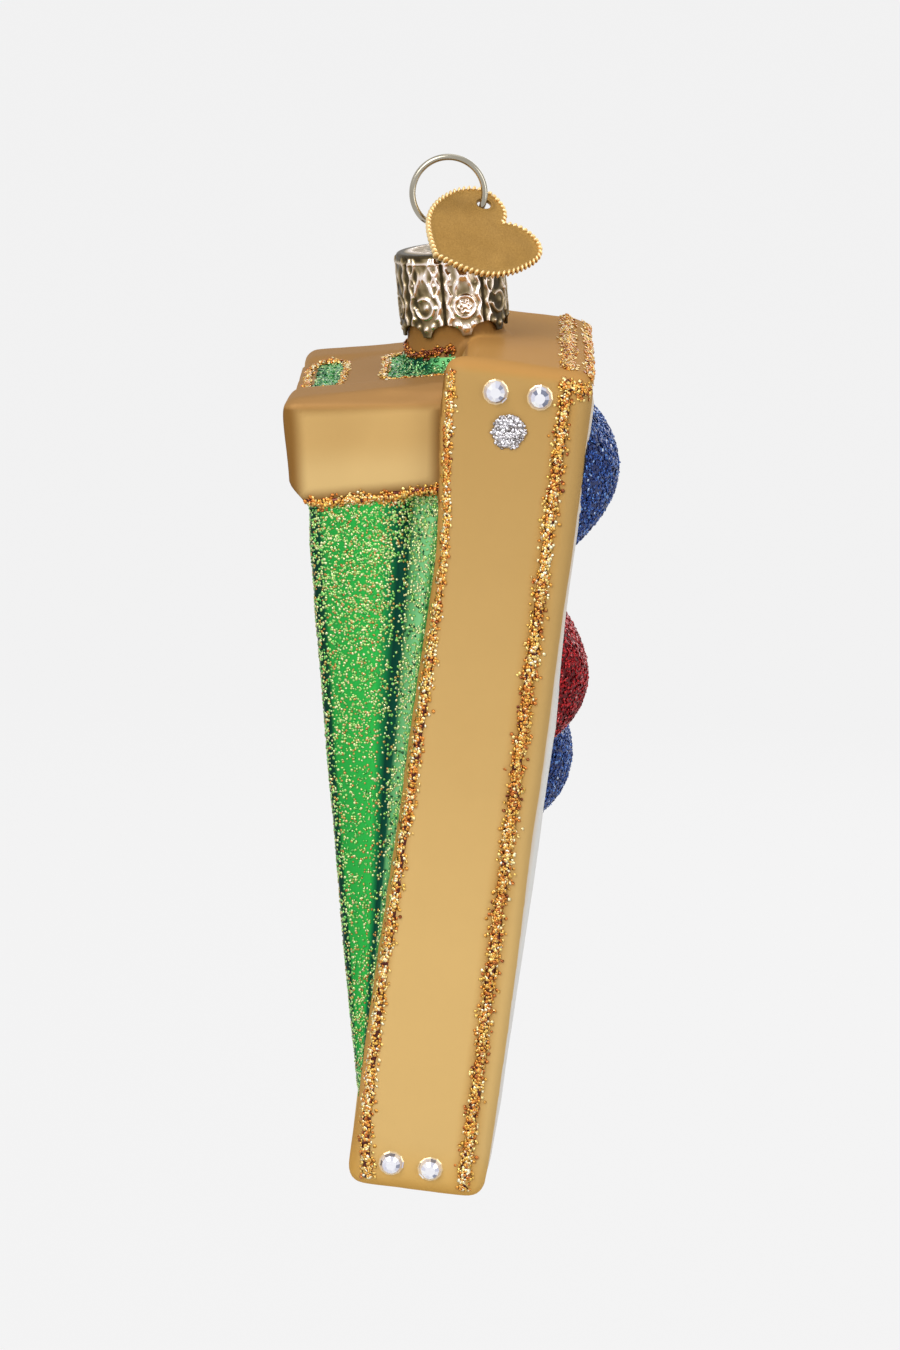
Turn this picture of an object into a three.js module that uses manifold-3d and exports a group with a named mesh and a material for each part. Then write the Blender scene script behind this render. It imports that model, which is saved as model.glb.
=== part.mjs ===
import * as THREE from 'three';
import { mergeVertices } from 'three/addons/utils/BufferGeometryUtils.js';
import Module from 'manifold-3d';

// A blown-glass tree ornament in the shape of a cornhole board on its legs, hung by the raised end.
// Millimetres, +Z up, +X out of the playing surface. The origin is the top of the opening of the wire
// ring, where a hook bears. The side that carries the name "left" is at -Y.

const wasm = await Module();
wasm.setup();

// Hanger wire
const WIRE = 0.8;
const RING_BORE = 7.6;
const LEG_REACH = 20;
const LEG_SPREAD = 3.45;
const HOLE_PITCH = 2.6;

// Crown cap
const CAP_DIAMETER = 12.5;
const CAP_HEIGHT = 9.6;
const CAP_SHEET = 0.35;
const CAP_DROP = 10.2;
const CAP_SCALLOPS = 8;
const SCALLOP_RADIUS = 1.9;
const SCALLOP_TURN = 7;
const FLUTE_RADIUS = 0.35;
const CAP_WIRE_HOLE = 1.5;
const NECK_LEAN = 5;

// Neck of the glass
const NECK_CLEARANCE = 0.3;
const NECK_BORE = 8.6;
const NECK_FLARE = 1.0;
const NECK_SHOULDER = 9.9;
const NECK_DEPTH = 19;

// Glass
const GLASS_WALL = 1.0;
const EDGE_ROUND = 1.5;
const SKIN_STEPS = 3;
const HOLLOW_STEPS = 2;
const FINEST_EDGE = 0.004;

// Board: frame and deck together, measured along and across its playing surface
const BOARD_LENGTH = 98;
const BOARD_WIDTH = 44;
const BOARD_LEAN = 7.4;
const FRAME_DEPTH_TOP = 11.9;
const FRAME_DEPTH_FOOT = 13.6;
const DECK_TOP = 3.1;
const DECK_FOOT = 2.5;
const BOARD_CORNER = 2.2;
const BOARD_FROM_NECK = 1.35;
const BOARD_BELOW_CAP = 9.6;

// Playing panel, its crown and its hole
const PANEL_MARGIN = 2.2;
const PANEL_CROWN = 0.8;
const HOLE_DIAMETER = 11;
const HOLE_FROM_TOP = 18.4;
const HOLE_SINK = 4;

// Ground, grass and legs, square to the ground on which the board would stand
const GROUND_HEEL = 8.6;
const GROUND_BELOW_TOP = 18.35;
const LEG_DEPTH = 11.3;
const LEG_BELOW_TOP = 6.0;
const LEG_SETBACK = 2.6;
const LEG_THICKNESS = 9.2;
const LEG_PROUD = 2.2;
const LEG_TOE = 1.7;
const LEG_TAPER = 0.75;
const LEG_RUN = 20;
const GRASS_SETBACK = 3.3;
const GRASS_DROP = 0.8;
const VALLEY_RADIUS = 3.2;
const VALLEY_SINK = 1.1;
const BRACE_DROP = 0.4;
const BRACE_FROM_GROUND = 4.0;
const BRACE_WIDTH = 5.5;
const RAIL_THICKNESS = 1.9;

// Bean bags on the deck
const BAG_SIDE = 14.4;
const BAG_RISE = 3.9;
const GLITTER_COAT = 0.4;

// The place of a bag is its share of the board's width, from the middle, and of its length, from the top.
// Its slide is how far the crown lies nearer to the top end than the seam does.
const BAGS = [
  { name: 'upper_blue_bag_glitter', across: -0.268, down: 0.138, turn: 13, slide: 0.8, color: 0x2b4f9e },
  { name: 'red_bag_glitter', across: -0.15, down: 0.389, turn: 5, slide: -0.6, color: 0xb3141d },
  { name: 'lower_blue_bag_glitter', across: 0.186, down: 0.518, turn: 16, slide: -1.0, color: 0x2b4f9e },
];

// Stones, bolt dots and glitter lines
const STONE_DIAMETER = 2.8;
const STONE_HEIGHT = 1.1;
const STONE_CROWN = 0.55;
const STONE_PITCH = 5.05;
const STONE_FROM_DECK_SEAM = 2.9;
const STONE_FROM_TOP = 3.4;
const FOOT_STONE_PITCH = 4.6;
const FOOT_STONE_FROM_FOOT = 3.6;
const FOOT_STONE_FROM_SEAM = 4.1;
const DOT_DIAMETER = 4.5;
const DOT_HEIGHT = 0.5;
const DOT_FROM_TOP = 7.9;
const LINE_WIDTH = 2.0;
const LINE_PROUD = 0.75;
const FINE_LINE_WIDTH = 1.6;
const GLUE_GAP = 0.25;
const LINE_END_GAP = 0.4;
const LINE_FROM_GROUND_EDGE = 0.95;
const GROUND_LINE_FROM_TOP = 3.6;
const CORNER_LINE_FROM_TOP = 2.0;
const NECK_LINE_BELOW_SHOULDER = 1.5;

// Heart tag
const TAG_WIDTH = 14.8;
const TAG_LENGTH = 13.3;
const TAG_SHEET = 0.4;
const TAG_RIM = 0.7;
const TAG_RIM_RISE = 0.2;
const TAG_HOLE = 2.4;
const TAG_HOLE_FROM_TIP = 10.4;
const TAG_HOLE_ASIDE = 3.2;
const TAG_PLACE_ON_RING = -19;
const TAG_TILT = 42;
const TAG_HEADING = 15;
const TAG_SPIN = 20;

// Derived sizes
const DEGREE = Math.PI / 180;
const HALF_WIDTH = BOARD_WIDTH / 2;
const RING_RADIUS = (RING_BORE + WIRE) / 2;
const RING_CENTRE = -RING_BORE / 2;
const NECK_DIAMETER = CAP_DIAMETER - 2 * (CAP_SHEET + NECK_CLEARANCE);
const DECK_FACE = FRAME_DEPTH_TOP + DECK_TOP;
const FOOT_EDGE = DECK_FACE - FRAME_DEPTH_FOOT - DECK_FOOT;
const HEEL = BOARD_LENGTH - GROUND_HEEL;
const LEG_TOP = HEEL - LEG_BELOW_TOP;
const GROUND_ANGLE = Math.atan(GROUND_BELOW_TOP / HEEL) / DEGREE;
const LEG_OUTER = HALF_WIDTH - LEG_SETBACK;
const LEG_INNER = LEG_OUTER - LEG_THICKNESS;
const GRASS_HALF = HALF_WIDTH - GRASS_SETBACK;

// Ground-side edge of the board, and seam of frame and deck, at a distance down from the top end
const groundEdge = (down) => FOOT_EDGE * down / BOARD_LENGTH;
const deckSeam = (down) => DECK_FACE - THREE.MathUtils.lerp(DECK_TOP, DECK_FOOT, down / BOARD_LENGTH);

// Groups: hang point, neck and cap frame, board frame, ground frame
const ornament = new THREE.Group();

const neckFrame = new THREE.Group();
neckFrame.position.set(0, 0, -CAP_DROP);
neckFrame.rotation.y = -NECK_LEAN * DEGREE;
ornament.add(neckFrame);

const boardFrame = new THREE.Group();
boardFrame.position.set(
  BOARD_FROM_NECK + BOARD_BELOW_CAP * Math.sin(NECK_LEAN * DEGREE),
  0,
  -CAP_DROP - BOARD_BELOW_CAP * Math.cos(NECK_LEAN * DEGREE),
);
boardFrame.rotation.y = BOARD_LEAN * DEGREE;
ornament.add(boardFrame);

const groundFrame = new THREE.Group();
groundFrame.position.set(groundEdge(HEEL), 0, -HEEL);
groundFrame.rotation.y = -GROUND_ANGLE * DEGREE;
boardFrame.add(groundFrame);
ornament.updateMatrixWorld(true);

// Solids

function toSolid(geometry) {
  const bare = geometry.clone();
  bare.deleteAttribute('normal');
  bare.deleteAttribute('uv');
  const merged = mergeVertices(bare, 1e-5);
  const vertProperties = new Float32Array(merged.attributes.position.array);
  const triVerts = new Uint32Array(merged.index.array);
  return new wasm.Manifold(new wasm.Mesh({ numProp: 3, vertProperties, triVerts }));
}

function toGeometry(solid) {
  const mesh = solid.getMesh();
  const geometry = new THREE.BufferGeometry();
  geometry.setAttribute('position', new THREE.BufferAttribute(mesh.vertProperties, 3));
  geometry.setIndex(new THREE.BufferAttribute(mesh.triVerts, 1));
  const faceted = geometry.toNonIndexed();
  faceted.computeVertexNormals();
  return faceted;
}

function joined(solids) {
  return solids.reduce((whole, solid) => whole.add(solid));
}

// Moves every edge of a convex outline inward by a distance (outward when it is negative)
function insetOutline(points, distance) {
  return points.map((corner, i) => {
    const before = points[(i + points.length - 1) % points.length];
    const after = points[(i + 1) % points.length];
    const u = new THREE.Vector2().subVectors(corner, before).normalize();
    const v = new THREE.Vector2().subVectors(after, corner).normalize();
    const reach = distance / (1 + u.dot(v));
    return new THREE.Vector2(corner.x - reach * (u.y + v.y), corner.y + reach * (u.x + v.x));
  });
}

// Closed outline whose corners are arcs
function roundedShape(points, radius) {
  const shape = new THREE.Shape();
  points.forEach((corner, i) => {
    const before = points[(i + points.length - 1) % points.length];
    const after = points[(i + 1) % points.length];
    const u = new THREE.Vector2().subVectors(corner, before).normalize();
    const v = new THREE.Vector2().subVectors(after, corner).normalize();
    const turn = Math.acos(THREE.MathUtils.clamp(u.dot(v), -1, 1));
    const reach = radius * Math.tan(turn / 2);
    const start = corner.clone().addScaledVector(u, -reach);
    const centre = new THREE.Vector2(start.x - radius * u.y, start.y + radius * u.x);
    const from = Math.atan2(start.y - centre.y, start.x - centre.x);
    shape.absarc(centre.x, centre.y, radius, from, from + turn, false);
  });
  shape.closePath();
  return shape;
}

// A board of rounded outline in the XZ plane, its width along Y, its long edges rounded
function plank(corners, { radius, width, edge, inset = 0, middle = 0 }) {
  const steps = inset > 0 ? HOLLOW_STEPS : SKIN_STEPS;
  const points = insetOutline(corners.map(([x, z]) => new THREE.Vector2(x, z)), inset);
  const round = Math.max(edge - inset, 0.3);
  const shape = roundedShape(points, Math.max(radius - inset, round + 0.1));
  const geometry = new THREE.ExtrudeGeometry(shape, {
    depth: width - 2 * inset - 2 * round,
    bevelEnabled: true,
    bevelThickness: round,
    bevelSize: round,
    bevelOffset: -round,
    bevelSegments: steps,
    curveSegments: inset > 0 ? 2 : 5,
  });
  geometry.translate(0, 0, -(width / 2 - inset - round));
  geometry.rotateX(Math.PI / 2);
  geometry.translate(0, middle, 0);
  return geometry;
}

// A round bar between two points
function bar(start, end, startRadius, endRadius = startRadius, sides = 16) {
  const from = new THREE.Vector3(...start);
  const axis = new THREE.Vector3(...end).sub(from);
  const geometry = new THREE.CylinderGeometry(endRadius, startRadius, axis.length(), sides);
  geometry.translate(0, axis.length() / 2, 0);
  geometry.applyQuaternion(new THREE.Quaternion().setFromUnitVectors(
    new THREE.Vector3(0, 1, 0),
    axis.clone().normalize(),
  ));
  geometry.translate(...start);
  return geometry;
}

function turned(profile, sides = 32) {
  const geometry = new THREE.LatheGeometry(profile.map(([r, z]) => new THREE.Vector2(r, z)), sides);
  geometry.rotateX(Math.PI / 2);
  return geometry;
}

// A plump square bag with thin edges, its seam at the deck face
function pillow(bag, grow) {
  const geometry = new THREE.SphereGeometry(1, grow < 0 ? 16 : 20, grow < 0 ? 6 : 10);
  const half = BAG_SIDE / 2 + grow;
  const rise = BAG_RISE + grow;
  const position = geometry.attributes.position;
  for (let i = 0; i < position.count; i += 1) {
    const angle = Math.atan2(position.getZ(i), position.getX(i));
    const ring = Math.hypot(position.getX(i), position.getZ(i));
    const square = (Math.cos(angle) ** 4 + Math.sin(angle) ** 4) ** -0.25;
    const reach = half * square * ring;
    const height = position.getY(i) * Math.abs(position.getY(i));
    position.setXYZ(i, reach * Math.cos(angle), rise * height, reach * Math.sin(angle));
  }
  geometry.rotateZ(-Math.PI / 2);
  geometry.rotateX(bag.turn * DEGREE);
  for (let i = 0; i < position.count; i += 1) {
    const lift = Math.max(position.getX(i), 0) / rise;
    position.setZ(i, position.getZ(i) + bag.slide * lift);
  }
  geometry.translate(DECK_FACE, bag.across * BOARD_WIDTH, -bag.down * BOARD_LENGTH);
  return geometry;
}

// Blown glass

function boardPlank(inset) {
  const corners = [
    [FOOT_EDGE, -BOARD_LENGTH],
    [DECK_FACE, -BOARD_LENGTH],
    [DECK_FACE, 0],
    [0, 0],
  ];
  return plank(corners, { radius: BOARD_CORNER, width: BOARD_WIDTH, edge: EDGE_ROUND, inset });
}

// The deck swells a little between its edges
function panelCrown(inset) {
  const halfAcross = HALF_WIDTH - PANEL_MARGIN - inset;
  const top = -PANEL_MARGIN - inset;
  const foot = -BOARD_LENGTH + PANEL_MARGIN + inset;
  const corners = [[-halfAcross, foot], [halfAcross, foot], [halfAcross, top], [-halfAcross, top]];
  const slope = 4.5;
  const shape = roundedShape(corners.map(([y, z]) => new THREE.Vector2(y, z)), slope + 0.5);
  const geometry = new THREE.ExtrudeGeometry(shape, {
    depth: 2,
    bevelEnabled: true,
    bevelThickness: PANEL_CROWN,
    bevelSize: slope,
    bevelOffset: -slope,
    bevelSegments: inset > 0 ? 2 : 3,
    curveSegments: inset > 0 ? 2 : 4,
  });
  geometry.rotateX(Math.PI / 2);
  geometry.rotateZ(Math.PI / 2);
  geometry.translate(DECK_FACE - inset - 2, 0, 0);
  return geometry;
}

function holeCutter(grow) {
  const radius = HOLE_DIAMETER / 2 + grow;
  const start = [DECK_FACE - HOLE_SINK - grow, 0, -HOLE_FROM_TOP];
  return bar(start, [DECK_FACE + 3, 0, -HOLE_FROM_TOP], radius - 0.4, radius, 24);
}

function wedge(inset) {
  const top = LEG_TOP - GRASS_DROP;
  const across = top * Math.tan(GROUND_ANGLE * DEGREE) + 3;
  const corners = [[0, 0], [3.5, -3], [across, top], [0, top]];
  return plank(corners, { radius: 1.2, width: 2 * GRASS_HALF, edge: 1.2, inset });
}

// A long shallow valley in the grass, beside the board on each side
function valley(side, grow) {
  const away = GRASS_HALF - VALLEY_SINK + VALLEY_RADIUS;
  const reach = VALLEY_RADIUS + grow;
  const slant = (GROUND_ANGLE + 1) * DEGREE;
  const top = LEG_TOP - LEG_DEPTH - 1;
  const foot = 12;
  const start = [foot * Math.tan(slant) - 0.4, side * (away + 0.9), foot - grow];
  const end = [top * Math.tan(slant) - VALLEY_RADIUS * 0.9, side * away, top + grow];
  return bar(start, end, reach - 0.45 * VALLEY_RADIUS, reach);
}

function leg(side, inset) {
  const geometry = plank(
    [[-LEG_PROUD, -LEG_DEPTH], [LEG_RUN, LEG_TAPER - LEG_DEPTH], [LEG_RUN, 0], [-LEG_PROUD, 0]],
    { radius: 2, width: LEG_THICKNESS, edge: 1.3, inset, middle: side * (LEG_OUTER + LEG_INNER) / 2 },
  );
  geometry.rotateY(LEG_TOE * DEGREE);
  geometry.translate(0, 0, LEG_TOP);
  return geometry;
}

function footRail() {
  const front = RAIL_THICKNESS - LEG_PROUD + 0.5;
  const top = LEG_TOP - BRACE_DROP;
  const corners = [[0.5 - LEG_PROUD, top - LEG_DEPTH], [front, top - LEG_DEPTH], [front, top], [0.5 - LEG_PROUD, top]];
  return plank(corners, { radius: 0.5, width: 2 * LEG_INNER + 4, edge: 0.4 });
}

function crossBrace(inset) {
  const near = BRACE_FROM_GROUND;
  const far = near + BRACE_WIDTH;
  const top = LEG_TOP - BRACE_DROP;
  const corners = [[near, top - 6], [far, top - 6], [far, top], [near, top]];
  return plank(corners, { radius: 0.8, width: 2 * LEG_INNER + 4, edge: 0.6, inset });
}

function neck(radius, flare, top) {
  return turned([
    [0, -NECK_DEPTH],
    [radius + flare, -NECK_DEPTH],
    [radius + flare, -NECK_SHOULDER - 4],
    [radius + 0.85 * flare, -NECK_SHOULDER - 2.4],
    [radius + 0.4 * flare, -NECK_SHOULDER - 1.1],
    [radius, -NECK_SHOULDER],
    [radius, top],
    [0, top],
  ]);
}

function place(geometry, frame) {
  return toSolid(geometry.applyMatrix4(frame.matrixWorld));
}

// The whole form without the neck, drawn in by an inset all round
function envelope(inset, holeGrow) {
  const board = place(boardPlank(inset), boardFrame)
    .add(place(panelCrown(inset), boardFrame))
    .subtract(place(holeCutter(holeGrow), boardFrame));
  const grass = place(wedge(inset), groundFrame)
    .subtract(place(valley(-1, inset), groundFrame))
    .subtract(place(valley(1, inset), groundFrame));
  const legs = [-1, 1].map((side) => place(leg(side, inset), groundFrame));
  const bags = BAGS.map((bag) => place(pillow(bag, -inset), boardFrame));
  return joined([board, grass, place(crossBrace(inset), groundFrame), ...legs, ...bags]);
}

const skin = envelope(0, 0).add(place(footRail(), groundFrame));
const hollow = envelope(GLASS_WALL, GLASS_WALL);
const neckTop = -CAP_SHEET - NECK_CLEARANCE;
const neckSkin = place(neck(NECK_DIAMETER / 2, NECK_FLARE, neckTop), neckFrame);
const neckHollow = place(neck(NECK_BORE / 2, NECK_FLARE, 1), neckFrame);
const glassSolid = skin.add(neckSkin).subtract(hollow).subtract(neckHollow).simplify(FINEST_EDGE);

// What lies on the glass is cut back by this form, so that it keeps the thickness of the glue
const glueFace = joined([
  envelope(-GLUE_GAP, 0),
  place(footRail(), groundFrame),
  place(neck(NECK_DIAMETER / 2 + GLUE_GAP, NECK_FLARE, neckTop), neckFrame),
]);

// Materials

function finish(color, roughness, metalness = 0) {
  return new THREE.MeshStandardMaterial({ color, roughness, metalness });
}

const steel = finish(0xc9c4b8, 0.25, 1);
const brass = finish(0xb98a3e, 0.35, 1);
const champagne = finish(0xcbb89a, 0.3, 1);
const lacquer = finish(0xc79a55, 0.4);
const crystal = finish(0xe6e6ee, 0.1);
const silverGlitter = finish(0xc8c8cc, 0.35, 0.6);
const goldGlitter = finish(0xb9832f, 0.4, 0.6);

function piece(name, solid, material) {
  const mesh = new THREE.Mesh(toGeometry(solid), material);
  mesh.name = name;
  ornament.add(mesh);
}

piece('glass_body', glassSolid, lacquer);

// Hanger wire: a ring, a small bend over the cap, and two legs that bow out inside the neck

function hangerPath() {
  const half = [];
  const lean = new THREE.Matrix4().makeRotationY(-NECK_LEAN * DEGREE).setPosition(0, 0, -CAP_DROP);
  const legPoints = [
    [LEG_SPREAD - 0.4, -LEG_REACH],
    [LEG_SPREAD - 0.4, -LEG_REACH * 0.75],
    [LEG_SPREAD - 0.3, -LEG_REACH * 0.5],
    [LEG_SPREAD, -LEG_REACH * 0.27],
    [HOLE_PITCH / 2 + 0.5, -1.8],
    [HOLE_PITCH / 2, 0],
  ];
  legPoints.forEach(([x, z]) => half.push(new THREE.Vector3(x, 0, z)));
  const ring = [];
  for (let angle = -62; angle <= 90; angle += 19) {
    ring.push(new THREE.Vector3(
      RING_RADIUS * Math.cos(angle * DEGREE),
      0,
      RING_CENTRE + RING_RADIUS * Math.sin(angle * DEGREE),
    ));
  }
  const right = [...half.map((point) => point.applyMatrix4(lean)), ...ring];
  const mirror = half.map((point, i) => {
    const [x, z] = legPoints[i];
    return new THREE.Vector3(-x, 0, z).applyMatrix4(lean);
  });
  const left = [...mirror, ...ring.slice(0, -1).map((point) => new THREE.Vector3(-point.x, 0, point.z))];
  return [...right, ...left.reverse()];
}

function tube(points, radius, steps, sides) {
  const section = new THREE.Shape();
  section.absarc(0, 0, radius, 0, 2 * Math.PI, false);
  return new THREE.ExtrudeGeometry(section, {
    steps,
    curveSegments: sides / 2,
    extrudePath: new THREE.CatmullRomCurve3(points, false, 'centripetal'),
  });
}

piece('hanger_wire', toSolid(tube(hangerPath(), WIRE / 2, 96, 8)), steel);

// Crown cap: drawn cup with a rounded shoulder, a scalloped skirt and flutes

function crownCap() {
  const radius = CAP_DIAMETER / 2;
  const inner = radius - CAP_SHEET;
  const cup = toSolid(turned([
    [0, -CAP_SHEET],
    [inner, -CAP_SHEET],
    [inner, -CAP_HEIGHT],
    [radius, -CAP_HEIGHT],
    [radius, -0.7],
    [radius - 0.2, -0.2],
    [radius - 0.7, 0],
    [0, 0],
  ], 48));
  const cuts = [-1, 1].map((side) => bar(
    [side * HOLE_PITCH / 2, 0, -1],
    [side * HOLE_PITCH / 2, 0, 1],
    CAP_WIRE_HOLE / 2,
    CAP_WIRE_HOLE / 2,
    12,
  ));
  const pitch = 360 / CAP_SCALLOPS;
  for (let i = 0; i < CAP_SCALLOPS; i += 1) {
    const angle = (-90 - SCALLOP_TURN + pitch * i) * DEGREE;
    const out = [Math.cos(angle), Math.sin(angle)];
    cuts.push(bar(
      [out[0] * 4, out[1] * 4, -CAP_HEIGHT],
      [out[0] * 8, out[1] * 8, -CAP_HEIGHT],
      SCALLOP_RADIUS,
      SCALLOP_RADIUS,
      16,
    ));
    cuts.push(bar(
      [out[0] * (radius + 0.15), out[1] * (radius + 0.15), -CAP_HEIGHT],
      [out[0] * (radius + 0.15), out[1] * (radius + 0.15), -1.2],
      FLUTE_RADIUS,
      FLUTE_RADIUS,
      8,
    ));
  }
  return cuts.reduce((solid, cut) => solid.subtract(toSolid(cut)), cup);
}

const capMesh = new THREE.Mesh(toGeometry(crownCap()), champagne);
capMesh.name = 'crown_cap';
neckFrame.add(capMesh);

// Heart tag: stamped sheet with a raised rim, hung by a hole near one lobe

function heartShape(inset) {
  const half = TAG_WIDTH / 2 - inset;
  const tip = -TAG_HOLE_FROM_TIP + 1.4 * inset;
  const lobe = tip + TAG_LENGTH - 2.4 * inset;
  const notch = lobe - 0.22 * TAG_LENGTH;
  const shape = new THREE.Shape();
  shape.moveTo(tip, 0);
  shape.bezierCurveTo(tip + 3.2, 0.45 * half, tip + 4.2, half, tip + 0.66 * (lobe - tip), half);
  shape.bezierCurveTo(lobe - 0.6, half, lobe, 0.72 * half, lobe, 0.52 * half);
  shape.bezierCurveTo(lobe, 0.25 * half, notch + 1.2, 0.08 * half, notch, 0);
  shape.bezierCurveTo(notch + 1.2, -0.08 * half, lobe, -0.25 * half, lobe, -0.52 * half);
  shape.bezierCurveTo(lobe, -0.72 * half, lobe - 0.6, -half, tip + 0.66 * (lobe - tip), -half);
  shape.bezierCurveTo(tip + 4.2, -half, tip + 3.2, -0.45 * half, tip, 0);
  return shape;
}

function heartTag() {
  const options = { bevelEnabled: false, curveSegments: 8 };
  const thick = TAG_SHEET + 2 * TAG_RIM_RISE;
  const blank = new THREE.ExtrudeGeometry(heartShape(0), { ...options, depth: thick });
  const pan = new THREE.ExtrudeGeometry(heartShape(TAG_RIM), { ...options, depth: 3 });
  const pans = [thick - TAG_RIM_RISE, TAG_RIM_RISE - 3].map((z) => toSolid(pan.clone().translate(0, 0, z)));
  const hole = toSolid(bar([0, TAG_HOLE_ASIDE, -1], [0, TAG_HOLE_ASIDE, 2], TAG_HOLE / 2, TAG_HOLE / 2, 20));
  return toSolid(blank).subtract(pans[0]).subtract(pans[1]).subtract(hole);
}

const tagReach = RING_RADIUS + (TAG_HOLE - WIRE) / 2 - 0.25;
const tagHeading = new THREE.Group();
tagHeading.position.set(
  tagReach * Math.cos(TAG_PLACE_ON_RING * DEGREE),
  0,
  RING_CENTRE + tagReach * Math.sin(TAG_PLACE_ON_RING * DEGREE),
);
tagHeading.rotation.z = TAG_HEADING * DEGREE;
ornament.add(tagHeading);
const tagTilt = new THREE.Group();
tagTilt.rotation.x = TAG_TILT * DEGREE;
tagHeading.add(tagTilt);
const tagSpin = new THREE.Group();
tagSpin.rotation.z = TAG_SPIN * DEGREE;
tagTilt.add(tagSpin);
const tagMesh = new THREE.Mesh(toGeometry(heartTag()), brass);
tagMesh.name = 'heart_tag';
tagMesh.position.set(0, -TAG_HOLE_ASIDE, -TAG_SHEET / 2 - TAG_RIM_RISE);
tagSpin.add(tagMesh);

// Glitter coats: thin domes over the bags

BAGS.forEach((bag, i) => {
  const coat = toSolid(pillow(bag, GLUE_GAP + GLITTER_COAT).applyMatrix4(boardFrame.matrixWorld));
  const above = BAGS.slice(0, i).map((other) => place(pillow(other, 2 * GLUE_GAP + GLITTER_COAT), boardFrame));
  const bare = above.reduce((solid, other) => solid.subtract(other), coat.subtract(glueFace));
  piece(bag.name, bare.simplify(FINEST_EDGE), finish(bag.color, 0.45, 0.4));
});

// Stones and bolt dots, glued on the flat side faces

function stone(x, z, side) {
  const geometry = new THREE.LatheGeometry([
    new THREE.Vector2(0, 0),
    new THREE.Vector2(STONE_DIAMETER / 2, 0),
    new THREE.Vector2(STONE_DIAMETER / 2, 0.2),
    new THREE.Vector2(STONE_CROWN * STONE_DIAMETER / 2, STONE_HEIGHT),
    new THREE.Vector2(0, STONE_HEIGHT),
  ], 12);
  if (side < 0) geometry.rotateX(Math.PI);
  geometry.translate(x, side * HALF_WIDTH, z);
  return geometry;
}

function dot(x, z, side) {
  const radius = DOT_DIAMETER / 2;
  const geometry = new THREE.LatheGeometry([
    new THREE.Vector2(0, 0),
    new THREE.Vector2(radius, 0),
    new THREE.Vector2(radius - 0.1, 0.6 * DOT_HEIGHT),
    new THREE.Vector2(radius - 0.7, DOT_HEIGHT),
    new THREE.Vector2(0, DOT_HEIGHT),
  ], 20);
  if (side < 0) geometry.rotateX(Math.PI);
  geometry.translate(x, side * HALF_WIDTH, z);
  return geometry;
}

function glued(name, geometry, material) {
  const mesh = new THREE.Mesh(toGeometry(toSolid(geometry)), material);
  mesh.name = name;
  boardFrame.add(mesh);
}

const SIDES = [['left', -1], ['right', 1]];
const upperStone = deckSeam(STONE_FROM_TOP) - STONE_FROM_DECK_SEAM;
const lowerStone = deckSeam(BOARD_LENGTH) - FOOT_STONE_FROM_SEAM;
SIDES.forEach(([label, side]) => {
  glued(`${label}_stone_upper_outer`, stone(upperStone, -STONE_FROM_TOP, side), crystal);
  glued(`${label}_stone_upper_inner`, stone(upperStone - STONE_PITCH, -STONE_FROM_TOP, side), crystal);
  const foot = FOOT_STONE_FROM_FOOT - BOARD_LENGTH;
  glued(`${label}_stone_lower_outer`, stone(lowerStone, foot, side), crystal);
  glued(`${label}_stone_lower_inner`, stone(lowerStone - FOOT_STONE_PITCH, foot, side), crystal);
  glued(`${label}_bolt_dot`, dot(upperStone - 0.7 * STONE_PITCH, -DOT_FROM_TOP, side), silverGlitter);
});

// Glitter lines: beads of glitter glue laid along edges and seams

const SINK = LINE_WIDTH / 2 - LINE_PROUD;

function line(name, points, frame, width = LINE_WIDTH, pitch = 6) {
  const path = points.map(([x, y, z]) => new THREE.Vector3(x, y, z));
  const curve = new THREE.CatmullRomCurve3(path);
  const steps = Math.max(3, Math.round(curve.getLength() / pitch));
  const bead = place(tube(path, width / 2, steps, 10), frame).subtract(glueFace);
  const bodies = bead.decompose().sort((a, b) => b.volume() - a.volume());
  piece(name, bodies[0].simplify(FINEST_EDGE), goldGlitter);
}

const legSlope = LEG_TAPER / LEG_RUN - Math.tan(LEG_TOE * DEGREE);
const legPoint = (x, y) => [x, y, LEG_TOP - LEG_DEPTH - 0.2 + legSlope * x];
SIDES.forEach(([label, side]) => {
  const face = side * (HALF_WIDTH - SINK);
  const foot = BOARD_LENGTH - 1.2;
  const besideGround = (down) => groundEdge(down) + LINE_FROM_GROUND_EDGE;
  line(`${label}_ground_edge_line`, [
    [LINE_FROM_GROUND_EDGE, face, -GROUND_LINE_FROM_TOP],
    [besideGround(0.2 * foot), face, -0.2 * foot],
    [besideGround(0.5 * foot), face, -0.5 * foot],
    [besideGround(0.82 * foot), face, -0.82 * foot],
    [besideGround(0.93 * foot) + 0.6, face, -0.93 * foot],
    [besideGround(foot) + 1.6, face, -foot],
  ], boardFrame);
  line(`${label}_deck_seam_line`, [
    [deckSeam(2), face, -CORNER_LINE_FROM_TOP - LINE_WIDTH / 2 - LINE_END_GAP],
    [deckSeam(0.35 * foot), face, -0.35 * foot],
    [deckSeam(0.67 * foot), face, -0.67 * foot],
    [deckSeam(foot), face, -foot],
  ], boardFrame);
  line(`${label}_corner_line`, [
    [deckSeam(0) - 0.8, face, -CORNER_LINE_FROM_TOP + 0.7],
    [deckSeam(0) + 1, face, -CORNER_LINE_FROM_TOP],
    [DECK_FACE - 0.2, side * (HALF_WIDTH - 0.9), -CORNER_LINE_FROM_TOP],
  ], boardFrame);
  const legFace = side * (LEG_OUTER - 0.4);
  line(`${label}_leg_line`, [
    legPoint(1.2 - LEG_PROUD, legFace),
    legPoint(4, legFace),
    legPoint(9, legFace),
    legPoint(Math.tan(GROUND_ANGLE * DEGREE) * LEG_TOP - 2.6, legFace),
  ], groundFrame);
});

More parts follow.
